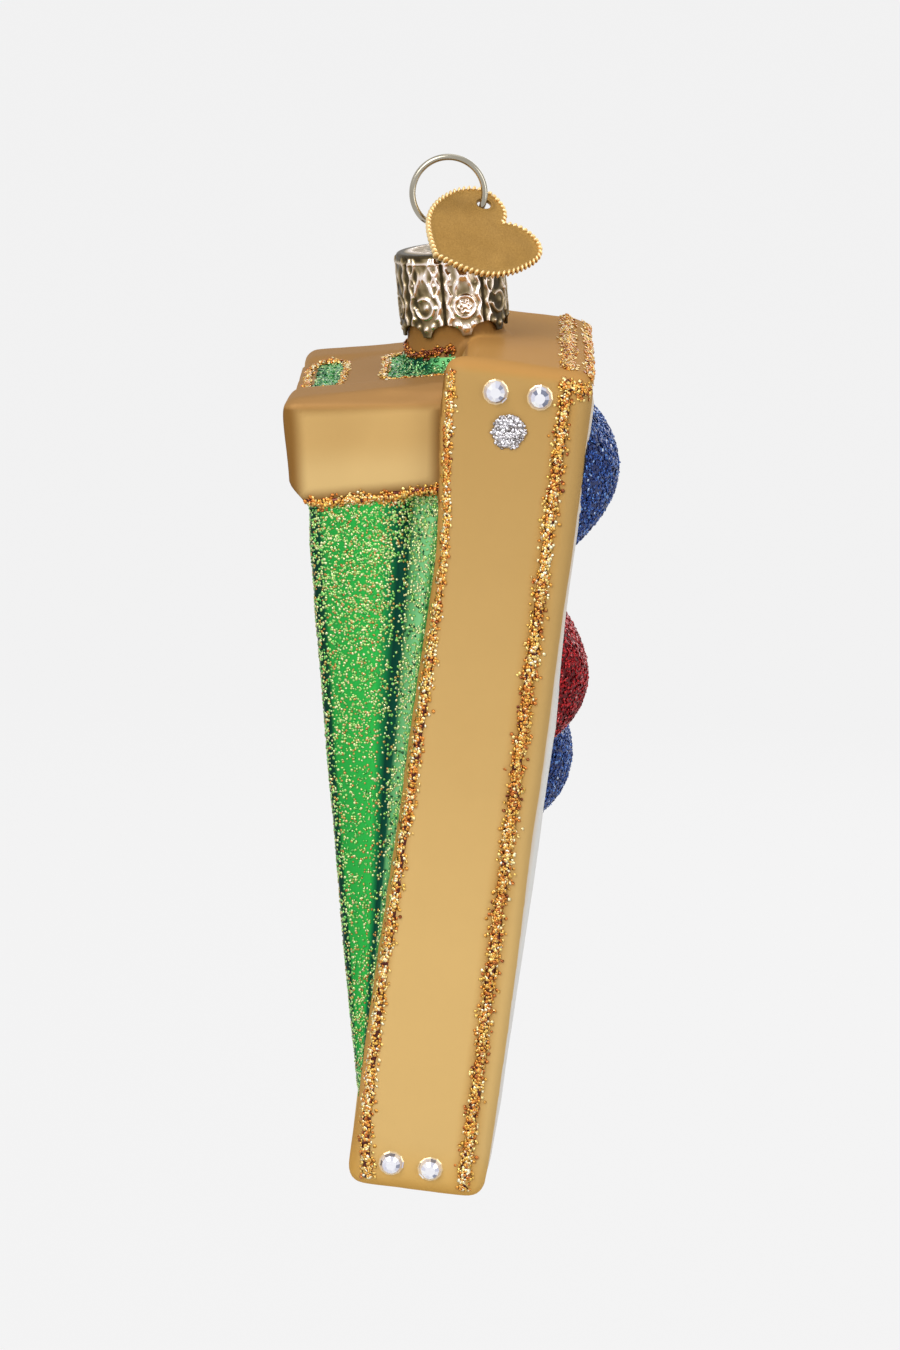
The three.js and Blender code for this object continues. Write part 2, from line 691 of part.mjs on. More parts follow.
const topEnd = HALF_WIDTH - LINE_WIDTH / 2 - 1.2;
line('top_seam_line', [[deckSeam(0), -topEnd, -SINK], [deckSeam(0), 0, -SINK], [deckSeam(0), topEnd, -SINK]], boardFrame);
line('deck_edge_line', [
  [DECK_FACE - 0.5, -topEnd, -0.8],
  [DECK_FACE - 0.5, 0, -0.8],
  [DECK_FACE - 0.5, topEnd, -0.8],
], boardFrame);

// Outlines of the two grass recesses between the legs, and the bead round the foot of the neck

const recessHalf = LEG_INNER + 0.2;
const braceFar = BRACE_FROM_GROUND + BRACE_WIDTH;
const braceTop = LEG_TOP - BRACE_DROP - 0.2;
const frameAtTop = Math.tan((GROUND_ANGLE + 0.6) * DEGREE) * LEG_TOP;

function recessPath(rows) {
  return rows.map(([x, share]) => {
    const climb = Math.abs(share) > 0.95 ? BRACE_DROP : 0;
    return [x, share * recessHalf, braceTop + climb];
  });
}

line('foot_recess_line', recessPath([
  [BRACE_FROM_GROUND + 0.1, -0.78],
  [BRACE_FROM_GROUND + 0.1, 0.84],
  [BRACE_FROM_GROUND - 1.0, 1],
  [1.2, 1],
  [0.1, 0.84],
  [0.1, -0.84],
  [1.2, -1],
  [BRACE_FROM_GROUND - 1.2, -1],
]), groundFrame, FINE_LINE_WIDTH);
line('neck_recess_line', recessPath([
  [frameAtTop - 1.4, -1],
  [braceFar + 1.2, -1],
  [braceFar - 0.3, -0.84],
  [braceFar - 0.3, 0],
  [braceFar - 0.3, 0.84],
  [braceFar + 1.2, 1],
  [frameAtTop - 1.4, 1],
]), groundFrame, FINE_LINE_WIDTH);

const neckLineReach = NECK_DIAMETER / 2 + 0.55 * NECK_FLARE;
const neckLinePath = [];
for (let angle = 100; angle <= 260; angle += 16) {
  neckLinePath.push([
    neckLineReach * Math.cos(angle * DEGREE),
    neckLineReach * Math.sin(angle * DEGREE),
    -NECK_SHOULDER - NECK_LINE_BELOW_SHOULDER,
  ]);
}
line('neck_foot_line', neckLinePath, neckFrame, FINE_LINE_WIDTH, 2);

export default ornament;
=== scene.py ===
import math

import bpy
import numpy as np
from mathutils import Matrix, Vector, noise
from mathutils.bvhtree import BVHTree


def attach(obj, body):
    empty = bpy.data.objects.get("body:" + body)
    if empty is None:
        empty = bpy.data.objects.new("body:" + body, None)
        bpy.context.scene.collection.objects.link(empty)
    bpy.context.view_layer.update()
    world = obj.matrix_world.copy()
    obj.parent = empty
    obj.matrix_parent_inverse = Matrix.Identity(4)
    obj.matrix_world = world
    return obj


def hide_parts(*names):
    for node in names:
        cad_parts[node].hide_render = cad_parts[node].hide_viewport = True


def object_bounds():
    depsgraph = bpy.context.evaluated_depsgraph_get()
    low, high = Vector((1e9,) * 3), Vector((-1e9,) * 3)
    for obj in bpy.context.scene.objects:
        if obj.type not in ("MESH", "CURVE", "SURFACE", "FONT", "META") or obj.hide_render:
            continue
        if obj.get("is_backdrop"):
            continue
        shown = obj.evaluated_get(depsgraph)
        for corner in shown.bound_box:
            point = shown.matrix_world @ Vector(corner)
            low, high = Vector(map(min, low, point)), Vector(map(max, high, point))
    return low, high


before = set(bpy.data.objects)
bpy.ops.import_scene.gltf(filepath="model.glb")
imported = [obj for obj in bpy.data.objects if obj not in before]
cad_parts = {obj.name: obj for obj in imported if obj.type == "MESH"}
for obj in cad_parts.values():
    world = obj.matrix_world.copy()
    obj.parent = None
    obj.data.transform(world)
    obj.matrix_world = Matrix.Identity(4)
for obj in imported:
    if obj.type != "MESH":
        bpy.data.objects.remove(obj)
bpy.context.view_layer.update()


# Camera, light and floor
# The ornament hangs in front of pale paper, under one large soft light at the upper left,
# a weaker one at the right and a low one behind.

scene = bpy.context.scene
scene.view_settings.view_transform = "Standard"
bpy.ops.object.select_all(action="DESELECT")

LOOK_AT = Vector((0.00017, 0, -0.0613))
LOOK_DOWN = math.radians(12.5)
LOOK_ASIDE = math.radians(0.96)
CAMERA_REACH = 0.575
LENS = 128.8
BACKGROUND = (0.896, 0.896, 0.896, 1)
FLOOR_HEIGHT = -0.32
FLOOR_PAPER = (0.918, 0.916, 0.918, 1)
FLOOR_SEEN = 0.94

back = Vector((
    math.sin(LOOK_ASIDE) * math.cos(LOOK_DOWN),
    -math.cos(LOOK_ASIDE) * math.cos(LOOK_DOWN),
    math.sin(LOOK_DOWN),
))
bpy.ops.object.camera_add(location=LOOK_AT + CAMERA_REACH * back)
camera = bpy.context.object
camera.rotation_euler = (-back).to_track_quat("-Z", "Y").to_euler()
camera.data.sensor_width = 36
camera.data.lens = LENS
camera.data.clip_start = 0.01
scene.camera = camera


def soft_light(name, direction, reach, size, watts, color):
    bpy.ops.object.light_add(type="AREA", location=LOOK_AT + reach * Vector(direction).normalized())
    lamp = bpy.context.object
    lamp.name = name
    lamp.rotation_euler = (LOOK_AT - lamp.location).to_track_quat("-Z", "Y").to_euler()
    lamp.data.shape = "RECTANGLE"
    lamp.data.size, lamp.data.size_y = size
    lamp.data.energy = watts
    lamp.data.color = color


soft_light("key_light", (-0.55, -1.0, 0.85), 0.9, (0.5, 0.7), 5.0, (1, 0.985, 0.96))
soft_light("fill_light", (1.0, -0.75, 0.25), 1.0, (0.35, 0.8), 2.4, (0.98, 0.99, 1))
soft_light("top_light", (0.1, 0.2, 1.0), 0.8, (0.5, 0.4), 0.5, (1, 1, 1))
soft_light("back_light", (0.3, 1.0, 0.2), 1.0, (0.6, 0.6), 1.6, (1, 1, 1))


def seen_share(nodes, links):
    """1 on rays that see, from the camera or in metal and glass, and 0 on rays that only light."""
    path = nodes.new("ShaderNodeLightPath")
    share = path.outputs["Is Camera Ray"]
    for kind in ("Is Glossy Ray", "Is Transmission Ray"):
        either = nodes.new("ShaderNodeMath")
        either.operation = "MAXIMUM"
        links.new(share, either.inputs[0])
        links.new(path.outputs[kind], either.inputs[1])
        share = either.outputs[0]
    return share


world = bpy.data.worlds.new("pale_room")
scene.world = world
world.use_nodes = True
nodes, links = world.node_tree.nodes, world.node_tree.links
nodes.clear()
lit = nodes.new("ShaderNodeBackground")
lit.inputs["Color"].default_value = (1, 1, 1, 1)
lit.inputs["Strength"].default_value = 0.42
paper = nodes.new("ShaderNodeBackground")
paper.inputs["Color"].default_value = BACKGROUND
paper.inputs["Strength"].default_value = 1
mix = nodes.new("ShaderNodeMixShader")
out = nodes.new("ShaderNodeOutputWorld")
links.new(seen_share(nodes, links), mix.inputs["Fac"])
links.new(lit.outputs[0], mix.inputs[1])
links.new(paper.outputs[0], mix.inputs[2])
links.new(mix.outputs[0], out.inputs["Surface"])

bpy.ops.mesh.primitive_plane_add(size=14, location=(0, 0, FLOOR_HEIGHT))
floor = bpy.context.object
floor.name = "floor"
floor_paint = bpy.data.materials.new("floor_paper")
floor_paint.use_nodes = True
nodes, links = floor_paint.node_tree.nodes, floor_paint.node_tree.links
nodes.clear()
share = nodes.new("ShaderNodeMath")
share.operation = "MULTIPLY"
share.inputs[1].default_value = FLOOR_SEEN
paper = nodes.new("ShaderNodeEmission")
paper.inputs["Color"].default_value = FLOOR_PAPER
matt = nodes.new("ShaderNodeBsdfDiffuse")
matt.inputs["Color"].default_value = (0.86, 0.86, 0.86, 1)
mix = nodes.new("ShaderNodeMixShader")
out = nodes.new("ShaderNodeOutputMaterial")
links.new(seen_share(nodes, links), share.inputs[0])
links.new(share.outputs[0], mix.inputs["Fac"])
links.new(matt.outputs[0], mix.inputs[1])
links.new(paper.outputs[0], mix.inputs[2])
links.new(mix.outputs[0], out.inputs["Surface"])
floor.data.materials.append(floor_paint)
floor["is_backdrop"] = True


# Glass body
# One blown shell, silvered inside: a slanted board with its deck, two legs with brace and foot
# rail, a wedge of grass, three bags and the neck. It is blown in a mould, so all edges are soft.

BOARD_LENGTH = 98.9
BOARD_HALF = 22.0
DECK_FACE = 15.0
FOOT_EDGE = -1.1
BOARD_LEAN = 7.4
PANEL_HALF = 19.8
PANEL_TOP = -2.2
PANEL_FOOT = -96.7
HOLE_DOWN = 18.4
LEG_TOP = 83.4
LEG_WIDTH = 9.2
LEG_MIDDLE = 14.8
LEG_LEAN = 1.7
BRACE_WIDTH = 24.4
GRASS_WIDTH = 37.4
GROUND_DOWN = 89.4
GROUND_SLOPE = math.atan(18.35 / GROUND_DOWN)
VALLEY_SLOPE = math.tan(math.radians(12.6))
VALLEY_LOW = 12
VALLEY_HIGH = 71.1
CAP_DROP = 10.2
NECK_LEAN = 5
NECK_RADIUS = 5.6
NECK_BORE = 4.75
NECK_PLACE = Matrix.Translation((0, 0, -CAP_DROP)) @ Matrix.Rotation(math.radians(-NECK_LEAN), 4, "Y")
BOARD_PLACE = Matrix.Translation((2.1867, 0, -19.7635)) @ Matrix.Rotation(math.radians(BOARD_LEAN), 4, "Y")
GROUND_PLACE = BOARD_PLACE @ Matrix.Translation((-1.0035, 0, -GROUND_DOWN))
GROUND_PLACE = GROUND_PLACE @ Matrix.Rotation(-GROUND_SLOPE, 4, "Y")
LEG_PLACE = GROUND_PLACE @ Matrix.Translation((0, 0, LEG_TOP))
LEG_PLACE = LEG_PLACE @ Matrix.Rotation(math.radians(LEG_LEAN), 4, "Y")
BAG_SIDE = 14.4
BAG_RISE = 3.9
BAGS = (
    ("upper_blue_bag_glitter", -11.8, 13.5, 13, 0.8),
    ("red_bag_glitter", -6.6, 38.1, 5, -0.6),
    ("lower_blue_bag_glitter", 8.2, 50.8, 16, -1.0),
)
TOP_CLIMB = 0.062
VOXEL = 0.5
MILLIMETRES = Matrix.Scale(0.001, 4)


def only(piece):
    bpy.ops.object.select_all(action="DESELECT")
    piece.select_set(True)
    bpy.context.view_layer.objects.active = piece


def settle(piece, place):
    piece.matrix_world = place @ piece.matrix_world
    only(piece)
    bpy.ops.object.transform_apply(location=True, rotation=True, scale=True)
    return piece


def apply_all(piece):
    only(piece)
    for modifier in list(piece.modifiers):
        bpy.ops.object.modifier_apply(modifier=modifier.name)


def end_outward():
    """Turns all faces out and leaves edit mode."""
    bpy.ops.mesh.select_all(action="SELECT")
    bpy.ops.mesh.normals_make_consistent(inside=False)
    bpy.ops.object.mode_set(mode="OBJECT")


def joined(target, others):
    """Joins the others into the target."""
    only(target)
    for piece in others:
        piece.select_set(True)
    bpy.ops.object.join()
    return bpy.context.object


def block(name, outline, width, round_edge, place, middle=0.0, segments=4):
    """A slab with a four-cornered outline, its width along Y, all its edges rounded."""
    bpy.ops.object.select_all(action="DESELECT")
    bpy.ops.mesh.primitive_plane_add(size=1)
    slab = bpy.context.object
    slab.name = name
    order = (0, 1, 3, 2)
    for vertex, (x, z) in zip(order, outline):
        slab.data.vertices[vertex].co = (x, middle - width / 2, z)
    bpy.ops.object.mode_set(mode="EDIT")
    bpy.ops.mesh.select_all(action="SELECT")
    bpy.ops.mesh.extrude_region_move(TRANSFORM_OT_translate={"value": (0, width, 0)})
    bpy.ops.mesh.select_all(action="SELECT")
    bpy.ops.mesh.normals_make_consistent(inside=False)
    bpy.ops.mesh.bevel(offset=round_edge, segments=segments, profile=0.5, affect="EDGES")
    bpy.ops.object.mode_set(mode="OBJECT")
    return settle(slab, place)


def turned(name, rings, place, sides=64):
    """A round form, raised ring by ring from its lowest disc."""
    bpy.ops.object.select_all(action="DESELECT")
    radius, height = rings[0]
    bpy.ops.mesh.primitive_circle_add(
        vertices=sides, radius=radius, fill_type="NGON", location=(0, 0, height),
    )
    form = bpy.context.object
    form.name = name
    bpy.ops.object.mode_set(mode="EDIT")
    for wider, higher in rings[1:]:
        bpy.ops.mesh.extrude_region_move(TRANSFORM_OT_translate={"value": (0, 0, higher - height)})
        bpy.ops.transform.resize(value=(wider / radius, wider / radius, 1))
        radius, height = wider, higher
    end_outward()
    return settle(form, place)


def cut(piece, cutter):
    tool = piece.modifiers.new("cut", "BOOLEAN")
    tool.operation = "DIFFERENCE"
    tool.object = cutter
    apply_all(piece)
    bpy.data.objects.remove(cutter)


def pillow(name, across, down, turn, slide, grow, rings):
    """A plump square bag with thin edges. Its crown lies off its seam by the slide."""
    bpy.ops.object.select_all(action="DESELECT")
    bpy.ops.mesh.primitive_uv_sphere_add(segments=2 * rings, ring_count=rings, radius=1)
    bag = bpy.context.object
    bag.name = name
    half = BAG_SIDE / 2 + grow
    rise = BAG_RISE + grow
    lean = math.radians(turn)
    for vertex in bag.data.vertices:
        y, z, x = vertex.co
        angle = math.atan2(z, y)
        ring = math.hypot(y, z)
        square = (math.cos(angle) ** 4 + math.sin(angle) ** 4) ** -0.25
        reach = half * square * ring
        y, z = reach * math.cos(angle), reach * math.sin(angle)
        y, z = y * math.cos(lean) - z * math.sin(lean), y * math.sin(lean) + z * math.cos(lean)
        z += slide * max(x, 0)
        vertex.co = (DECK_FACE + rise * x * abs(x), y + across, z - down)
    only(bag)
    bpy.ops.object.mode_set(mode="EDIT")
    end_outward()
    return settle(bag, BOARD_PLACE)


board = block(
    "board",
    ((FOOT_EDGE, -BOARD_LENGTH), (DECK_FACE, -BOARD_LENGTH), (DECK_FACE, 0), (0, 0)),
    2 * BOARD_HALF, 1.9, BOARD_PLACE, segments=5,
)

bpy.ops.object.select_all(action="DESELECT")
bpy.ops.mesh.primitive_plane_add(size=1)
panel = bpy.context.object
panel.name = "panel"
panel_corners = (
    (-PANEL_HALF, PANEL_FOOT), (PANEL_HALF, PANEL_FOOT), (PANEL_HALF, PANEL_TOP), (-PANEL_HALF, PANEL_TOP),
)
for vertex, (y, z) in zip((0, 1, 3, 2), panel_corners):
    panel.data.vertices[vertex].co = (DECK_FACE - 2, y, z)
bpy.ops.object.mode_set(mode="EDIT")
bpy.ops.mesh.select_all(action="SELECT")
bpy.ops.mesh.extrude_region_move(TRANSFORM_OT_translate={"value": (2, 0, 0)})
bpy.ops.mesh.extrude_region_move(TRANSFORM_OT_translate={"value": (0.5, 0, 0)})
bpy.ops.transform.resize(value=(1, 0.93, 0.966))
bpy.ops.mesh.extrude_region_move(TRANSFORM_OT_translate={"value": (0.3, 0, 0)})
bpy.ops.transform.resize(value=(1, 0.8, 0.93))
end_outward()
settle(panel, BOARD_PLACE)

hole_place = BOARD_PLACE @ Matrix.Translation((DECK_FACE, 0, -HOLE_DOWN))
hole_place = hole_place @ Matrix.Rotation(math.radians(90), 4, "Y")
for slab in (board, panel):
    cut(slab, turned("hole", ((5.1, -4), (5.3, -1), (5.5, 3)), hole_place))


def lift_top(piece, low_side=0):
    """Raises the top of a form between the legs towards the board, as the mould left it."""
    away = GROUND_PLACE.inverted()
    for vertex in piece.data.vertices:
        spot = away @ vertex.co
        if spot.z > 78:
            climb = -0.02 if spot.y * low_side > 17.9 else TOP_CLIMB
            spot.z += climb * spot.x
            vertex.co = GROUND_PLACE @ spot
    return piece


grass = block("grass", ((0, 0), (3.5, -3), (19.73, 82.6), (0, 82.6)), GRASS_WIDTH, 1.2, GROUND_PLACE)
lift_top(grass)
for side in (-1, 1):
    low = Vector((VALLEY_LOW * VALLEY_SLOPE - 0.4, side * (20.8 + 0.9), VALLEY_LOW))
    high = Vector((VALLEY_HIGH * VALLEY_SLOPE - 2.9, side * 20.8, VALLEY_HIGH))
    along = high - low
    valley_turn = along.to_track_quat("Z", "Y").to_matrix().to_4x4()
    valley_place = GROUND_PLACE @ Matrix.Translation(low) @ valley_turn
    cut(grass, turned("valley", ((1.76, 0), (3.2, along.length)), valley_place))

forms = [board, panel, grass]
for side in (-1, 1):
    toe = -1.95 + 0.5 * side
    outline = ((toe, -12.3), (20, -11.0), (20, 0), (toe, 0.3))
    leg = block("leg", outline, LEG_WIDTH, 1.7, LEG_PLACE, middle=side * LEG_MIDDLE)
    forms.append(lift_top(leg, low_side=-1))
forms.append(block(
    "foot_rail", ((-1.3, 71.3), (0.2, 71.3), (0.2, 83.0), (-1.3, 83.0)),
    BRACE_WIDTH, 0.45, GROUND_PLACE, segments=3,
))
forms.append(lift_top(block(
    "cross_brace", ((4, 76.6), (9.5, 76.6), (9.5, 83.0), (4, 83.0)),
    BRACE_WIDTH, 0.7, GROUND_PLACE, segments=3,
)))
neck = turned(
    "neck",
    ((6.6, -19), (6.6, -13.9), (6.45, -12.3), (6.0, -11), (NECK_RADIUS, -9.9), (NECK_RADIUS, -0.65)),
    NECK_PLACE,
)
cut(neck, turned("bore", ((NECK_BORE, -15), (NECK_BORE, 1)), NECK_PLACE))
forms.append(neck)
for name, *lie in BAGS:
    forms.append(pillow(name + "_swelling", *lie, 0, 28))

glass = joined(board, forms)
glass.name = "glass"
remesh = glass.modifiers.new("skin", "REMESH")
remesh.mode = "VOXEL"
remesh.voxel_size = VOXEL
softening = glass.modifiers.new("softening", "SMOOTH")
softening.factor = 0.5
softening.iterations = 5
apply_all(glass)


def vertex_rows(piece, what="co"):
    """The place or the normal of every vertex, one row each."""
    values = np.empty(3 * len(piece.data.vertices))
    piece.data.vertices.foreach_get(what, values)
    return values.reshape(-1, 3)


def store(piece, name, values, domain="POINT"):
    layer = piece.data.attributes.new(name, "FLOAT", domain)
    layer.data.foreach_set("value", np.ascontiguousarray(values, dtype=np.float32))


points = vertex_rows(glass)
normals = vertex_rows(glass, "normal")


def seen_from(place, values, turn_only=False):
    """Points, or directions, in the frame of a placed part."""
    away = np.array(place.inverted())
    moved = values @ away[:3, :3].T
    return moved if turn_only else moved + away[:3, 3]


def ramp_up(values, low, high):
    share = np.clip((values - low) / (high - low), 0, 1)
    return share * share * (3 - 2 * share)


def ground_edge(down):
    """Where the board's side ends towards the ground, at a way down the board."""
    return FOOT_EDGE * down / BOARD_LENGTH


def deck_seam(down):
    """Where the deck is glued on the frame, at a way down the board."""
    return DECK_FACE - (3.1 - 0.6 * down / BOARD_LENGTH)


# The blown skin: faint waves, full sides, a crowned deck, a full sole under the grass, the upper
# corners drawn out, the deck's edge swollen lower down and the toes of the legs cut back.
on_board = seen_from(BOARD_PLACE, points)
board_normal = seen_from(BOARD_PLACE, normals, True)
board_out = np.array(BOARD_PLACE.to_3x3() @ Vector((1, 0, 0)))
leg_out = np.array(LEG_PLACE.to_3x3() @ Vector((1, 0, 0)))
aside = np.abs(on_board[:, 1])
down = -on_board[:, 2]
side_share = ramp_up(np.abs(board_normal[:, 1]), 0.85, 0.98) * (aside > 20.5)
middle = (ground_edge(down) + DECK_FACE) / 2
belly = np.clip(1 - ((on_board[:, 0] - middle) / 7.6) ** 2, 0, 1)
belly = belly * np.clip(down / 9, 0, 1) * np.clip((BOARD_LENGTH - down) / 9, 0, 1)
waves = np.array([
    noise.noise(Vector(p) * 0.07) + 0.45 * noise.noise(Vector(p) * 0.19 + Vector((9, 4, 2))) for p in points
])
crown = (aside < 19.6) * ramp_up(on_board[:, 0], 14.4, 15.2) * (board_normal[:, 0] > 0.95)
crown *= 1 - (on_board[:, 1] / PANEL_HALF) ** 2
crown *= on_board[:, 0] < 16.2
crown_height = 0.65 * np.exp(-((down - 58) / 26) ** 2)
crown *= crown_height - 0.75 * ramp_up(-down, -44, -24) - 0.75 * ramp_up(down, 88, 95)
on_ground = seen_from(GROUND_PLACE, points)
ground_normal = seen_from(GROUND_PLACE, normals, True)
sole = ramp_up(-ground_normal[:, 0], 0.6, 0.95) * (on_ground[:, 0] < 1.5)
sole = sole * np.clip((72 - on_ground[:, 2]) / 6, 0, 1)
sole *= np.clip(on_ground[:, 2] / 30, 0, 1)
points += normals * (0.16 * waves + 0.3 * side_share * belly + crown + 0.45 * sole)[:, None]
DRAWN_OUT = 2.1
corner_draw = DRAWN_OUT * ramp_up(-down, -27, -3)
corner_draw = corner_draw * ramp_up(-on_board[:, 0], -8, -1) * ramp_up(aside, 19.3, 20.6)
points -= corner_draw[:, None] * board_out
rim_swell = 0.4 * np.exp(-((down - 74) / 17) ** 2) * ramp_up(aside, 19.5, 20.0)
rim_swell *= ramp_up(on_board[:, 0], 12.8, 15.0)
points += rim_swell[:, None] * board_out
in_leg = seen_from(LEG_PLACE, points)
aside = np.abs(points[:, 1])
toe_cut = 0.14 * ramp_up(-in_leg[:, 2], 2, 9.5) + 0.64 * ramp_up(-in_leg[:, 2], 9.4, 12.3)
toe_cut += 0.26 * np.clip((19.4 - aside) / LEG_WIDTH, 0, 1)
toe_cut *= np.clip(-in_leg[:, 0], 0, None) * (in_leg[:, 2] > -13) * (aside > 9.5)
points += toe_cut[:, None] * leg_out
glass.data.vertices.foreach_set("co", points.ravel())
glass.data.update()

# Where each lacquer goes. A value above 0 lies inside the painted area, in millimetres.
on_board = seen_from(BOARD_PLACE, points)
on_ground = seen_from(GROUND_PLACE, points)
on_neck = seen_from(NECK_PLACE, points)
in_leg = seen_from(LEG_PLACE, points)
down = -on_board[:, 2]
aside = np.abs(points[:, 1])
edge_here = ground_edge(down) - DRAWN_OUT * ramp_up(-down, -27, -3) * (aside > 19.3)
from_neck_axis = np.hypot(on_neck[:, 0], on_neck[:, 1])

grass_wall = np.minimum.reduce((
    71.6 - on_ground[:, 2], edge_here + 0.3 + 0.5 * ramp_up(down, 50, 75) - on_board[:, 0],
    19.6 - aside, 88.6 - down,
))
between_legs = np.minimum(10.3 - aside, on_ground[:, 2] - 80)
foot_recess = np.minimum.reduce((between_legs, on_ground[:, 0] - 0.8, 4.0 - on_ground[:, 0]))
neck_recess = np.minimum.reduce((
    between_legs, on_ground[:, 0] - 9.5, -1.0 - on_board[:, 0], -11.9 - on_neck[:, 2],
))
hollow = np.maximum(foot_recess, neck_recess)
panel_paint = np.minimum.reduce((on_board[:, 0] - 14.75, 19.7 - aside, down - 2.3, 96.6 - down))
hole_paint = 5.0 - np.hypot(on_board[:, 1], down - HOLE_DOWN)

board_edges = np.minimum.reduce((
    on_board[:, 0] - edge_here, np.abs(deck_seam(down) - on_board[:, 0]) + 0.2, down, BOARD_LENGTH - down,
))
leg_edges = np.minimum.reduce((
    in_leg[:, 0] + 1.7, -in_leg[:, 2], in_leg[:, 2] + 12.2 - 0.06 * in_leg[:, 0],
    edge_here - on_board[:, 0] + 0.6,
))
on_leg = ((on_board[:, 0] < edge_here + 0.3) & (in_leg[:, 2] > -12.6)).astype(float)
edge_reach = np.where(on_leg > 0, leg_edges, board_edges)
edge_reach = np.where(aside > 17.5, edge_reach, 3.0)
# Faces that look up, for the painted shade on the tops.
up = np.clip(normals[:, 2], 0, 1)
# Lower part of the legs, painted lighter as part of the painted shading.
leg_low = on_leg * ramp_up(-in_leg[:, 2], 4.5, 9)
# The neck just under the cap, where it doesn't face up: painted shade under the cap.
neck_foot = ramp_up(on_neck[:, 2], -14, -11.8) * (from_neck_axis < 7.2) * ramp_up(-up, -0.8, -0.4)


def across_wedge(spots):
    """How far across the green wall, from 0 at the ground to 1 at the board."""
    return spots[:, 0] / np.maximum(spots[:, 2] * math.tan(GROUND_SLOPE) + 0.6, 1.5)


across_grass = across_wedge(on_ground)
for name, values in (
    ("green", np.maximum(grass_wall, hollow)), ("panel", panel_paint), ("hole", hole_paint),
    ("edge_reach", edge_reach), ("across_grass", across_grass), ("up", ramp_up(up, 0.22, 0.55)),
    ("down", down / BOARD_LENGTH), ("leg", on_leg), ("leg_low", leg_low), ("neck", neck_foot),
    ("hollow", hollow),
):
    store(glass, name, values)
only(glass)
bpy.ops.object.shade_smooth()


def paint(name):
    """A new node material, its tree and its shader."""
    material = bpy.data.materials.new(name)
    material.use_nodes = True
    tree = material.node_tree
    return material, tree, tree.nodes["Principled BSDF"]


def join(tree, source, target):
    tree.links.new(source, target)


def attribute(tree, name):
    node = tree.nodes.new("ShaderNodeAttribute")
    node.attribute_name = name
    return node.outputs["Fac"]


def spread(tree, source, low, high, to_low=0.0, to_high=1.0, smooth=True):
    node = tree.nodes.new("ShaderNodeMapRange")
    node.interpolation_type = "SMOOTHSTEP" if smooth else "LINEAR"
    join(tree, source, node.inputs["Value"])
    node.inputs["From Min"].default_value = low
    node.inputs["From Max"].default_value = high
    node.inputs["To Min"].default_value = to_low
    node.inputs["To Max"].default_value = to_high
    return node.outputs["Result"]


def blend(tree, share, first, second):
    """Mixes two colours, each a socket or a plain colour."""
    node = tree.nodes.new("ShaderNodeMix")
    node.data_type = "RGBA"
    for value, slot in ((share, 0), (first, 6), (second, 7)):
        if isinstance(value, (tuple, float, int)):
            node.inputs[slot].default_value = value
        else:
            join(tree, value, node.inputs[slot])
    return node.outputs[2]


def calc(tree, operation, first, second=None):
    node = tree.nodes.new("ShaderNodeMath")
    node.operation = operation
    for slot, value in enumerate((first, second)):
        if value is None:
            continue
        if isinstance(value, (float, int)):
            node.inputs[slot].default_value = value
        else:
            join(tree, value, node.inputs[slot])
    return node.outputs[0]


def grain(tree, scale, detail=3.0, rough=0.5, stretch=(1, 1, 1)):
    """Noise in object space. The scale is per metre."""
    where = tree.nodes.new("ShaderNodeTexCoord")
    turn = tree.nodes.new("ShaderNodeMapping")
    turn.inputs["Scale"].default_value = stretch
    node = tree.nodes.new("ShaderNodeTexNoise")
    node.inputs["Scale"].default_value = scale
    node.inputs["Detail"].default_value = detail
    node.inputs["Roughness"].default_value = rough
    join(tree, where.outputs["Object"], turn.inputs["Vector"])
    join(tree, turn.outputs[0], node.inputs["Vector"])
    return node.outputs["Fac"]


def ramp(tree, source, stops):
    node = tree.nodes.new("ShaderNodeValToRGB")
    band = node.color_ramp
    while len(band.elements) > 1:
        band.elements.remove(band.elements[-1])
    band.elements[0].position, band.elements[0].color = stops[0]
    for place, color in stops[1:]:
        band.elements.new(place).color = color
    join(tree, source, node.inputs["Fac"])
    return node.outputs["Color"]


def sway(tree, source, amount):
    """A noise as a swing about zero."""
    return calc(tree, "MULTIPLY", calc(tree, "SUBTRACT", source, 0.5), amount)


def fixed(shader, values):
    for name, value in values.items():
        shader.inputs[name].default_value = value


def clad(piece, material):
    piece.data.materials.clear()
    piece.data.materials.append(material)


def bump(tree, shader, height, distance, strength=1.0):
    node = tree.nodes.new("ShaderNodeBump")
    node.inputs["Strength"].default_value = strength
    node.inputs["Distance"].default_value = distance
    join(tree, height, node.inputs["Height"])
    join(tree, node.outputs["Normal"], shader.inputs["Normal"])


def tone(red, green, blue):
    """A colour as it is seen on a screen, 0 to 255, as a shader colour."""
    parts = []
    for value in (red, green, blue):
        value = value / 255
        parts.append(value / 12.92 if value <= 0.04045 else ((value + 0.055) / 1.055) ** 2.4)
    return (*parts, 1)


lacquer, tree, shader = paint("silvered_lacquered_glass")
cloud = grain(tree, 70, 2.0)
streak = grain(tree, 120, 2.0, stretch=(1, 1, 0.25))
is_leg = attribute(tree, "leg")
is_up = attribute(tree, "up")
way_down = attribute(tree, "down")
# Painted shade at the rounded edges: the lacquer turns darker and more orange within about 2 mm of each
# face's edge, darkest on the legs.
near_edge = spread(tree, attribute(tree, "edge_reach"), 0.2, 2.2, 1, 0)
shade_near_edges = calc(tree, "ADD", near_edge, sway(tree, cloud, 0.5))
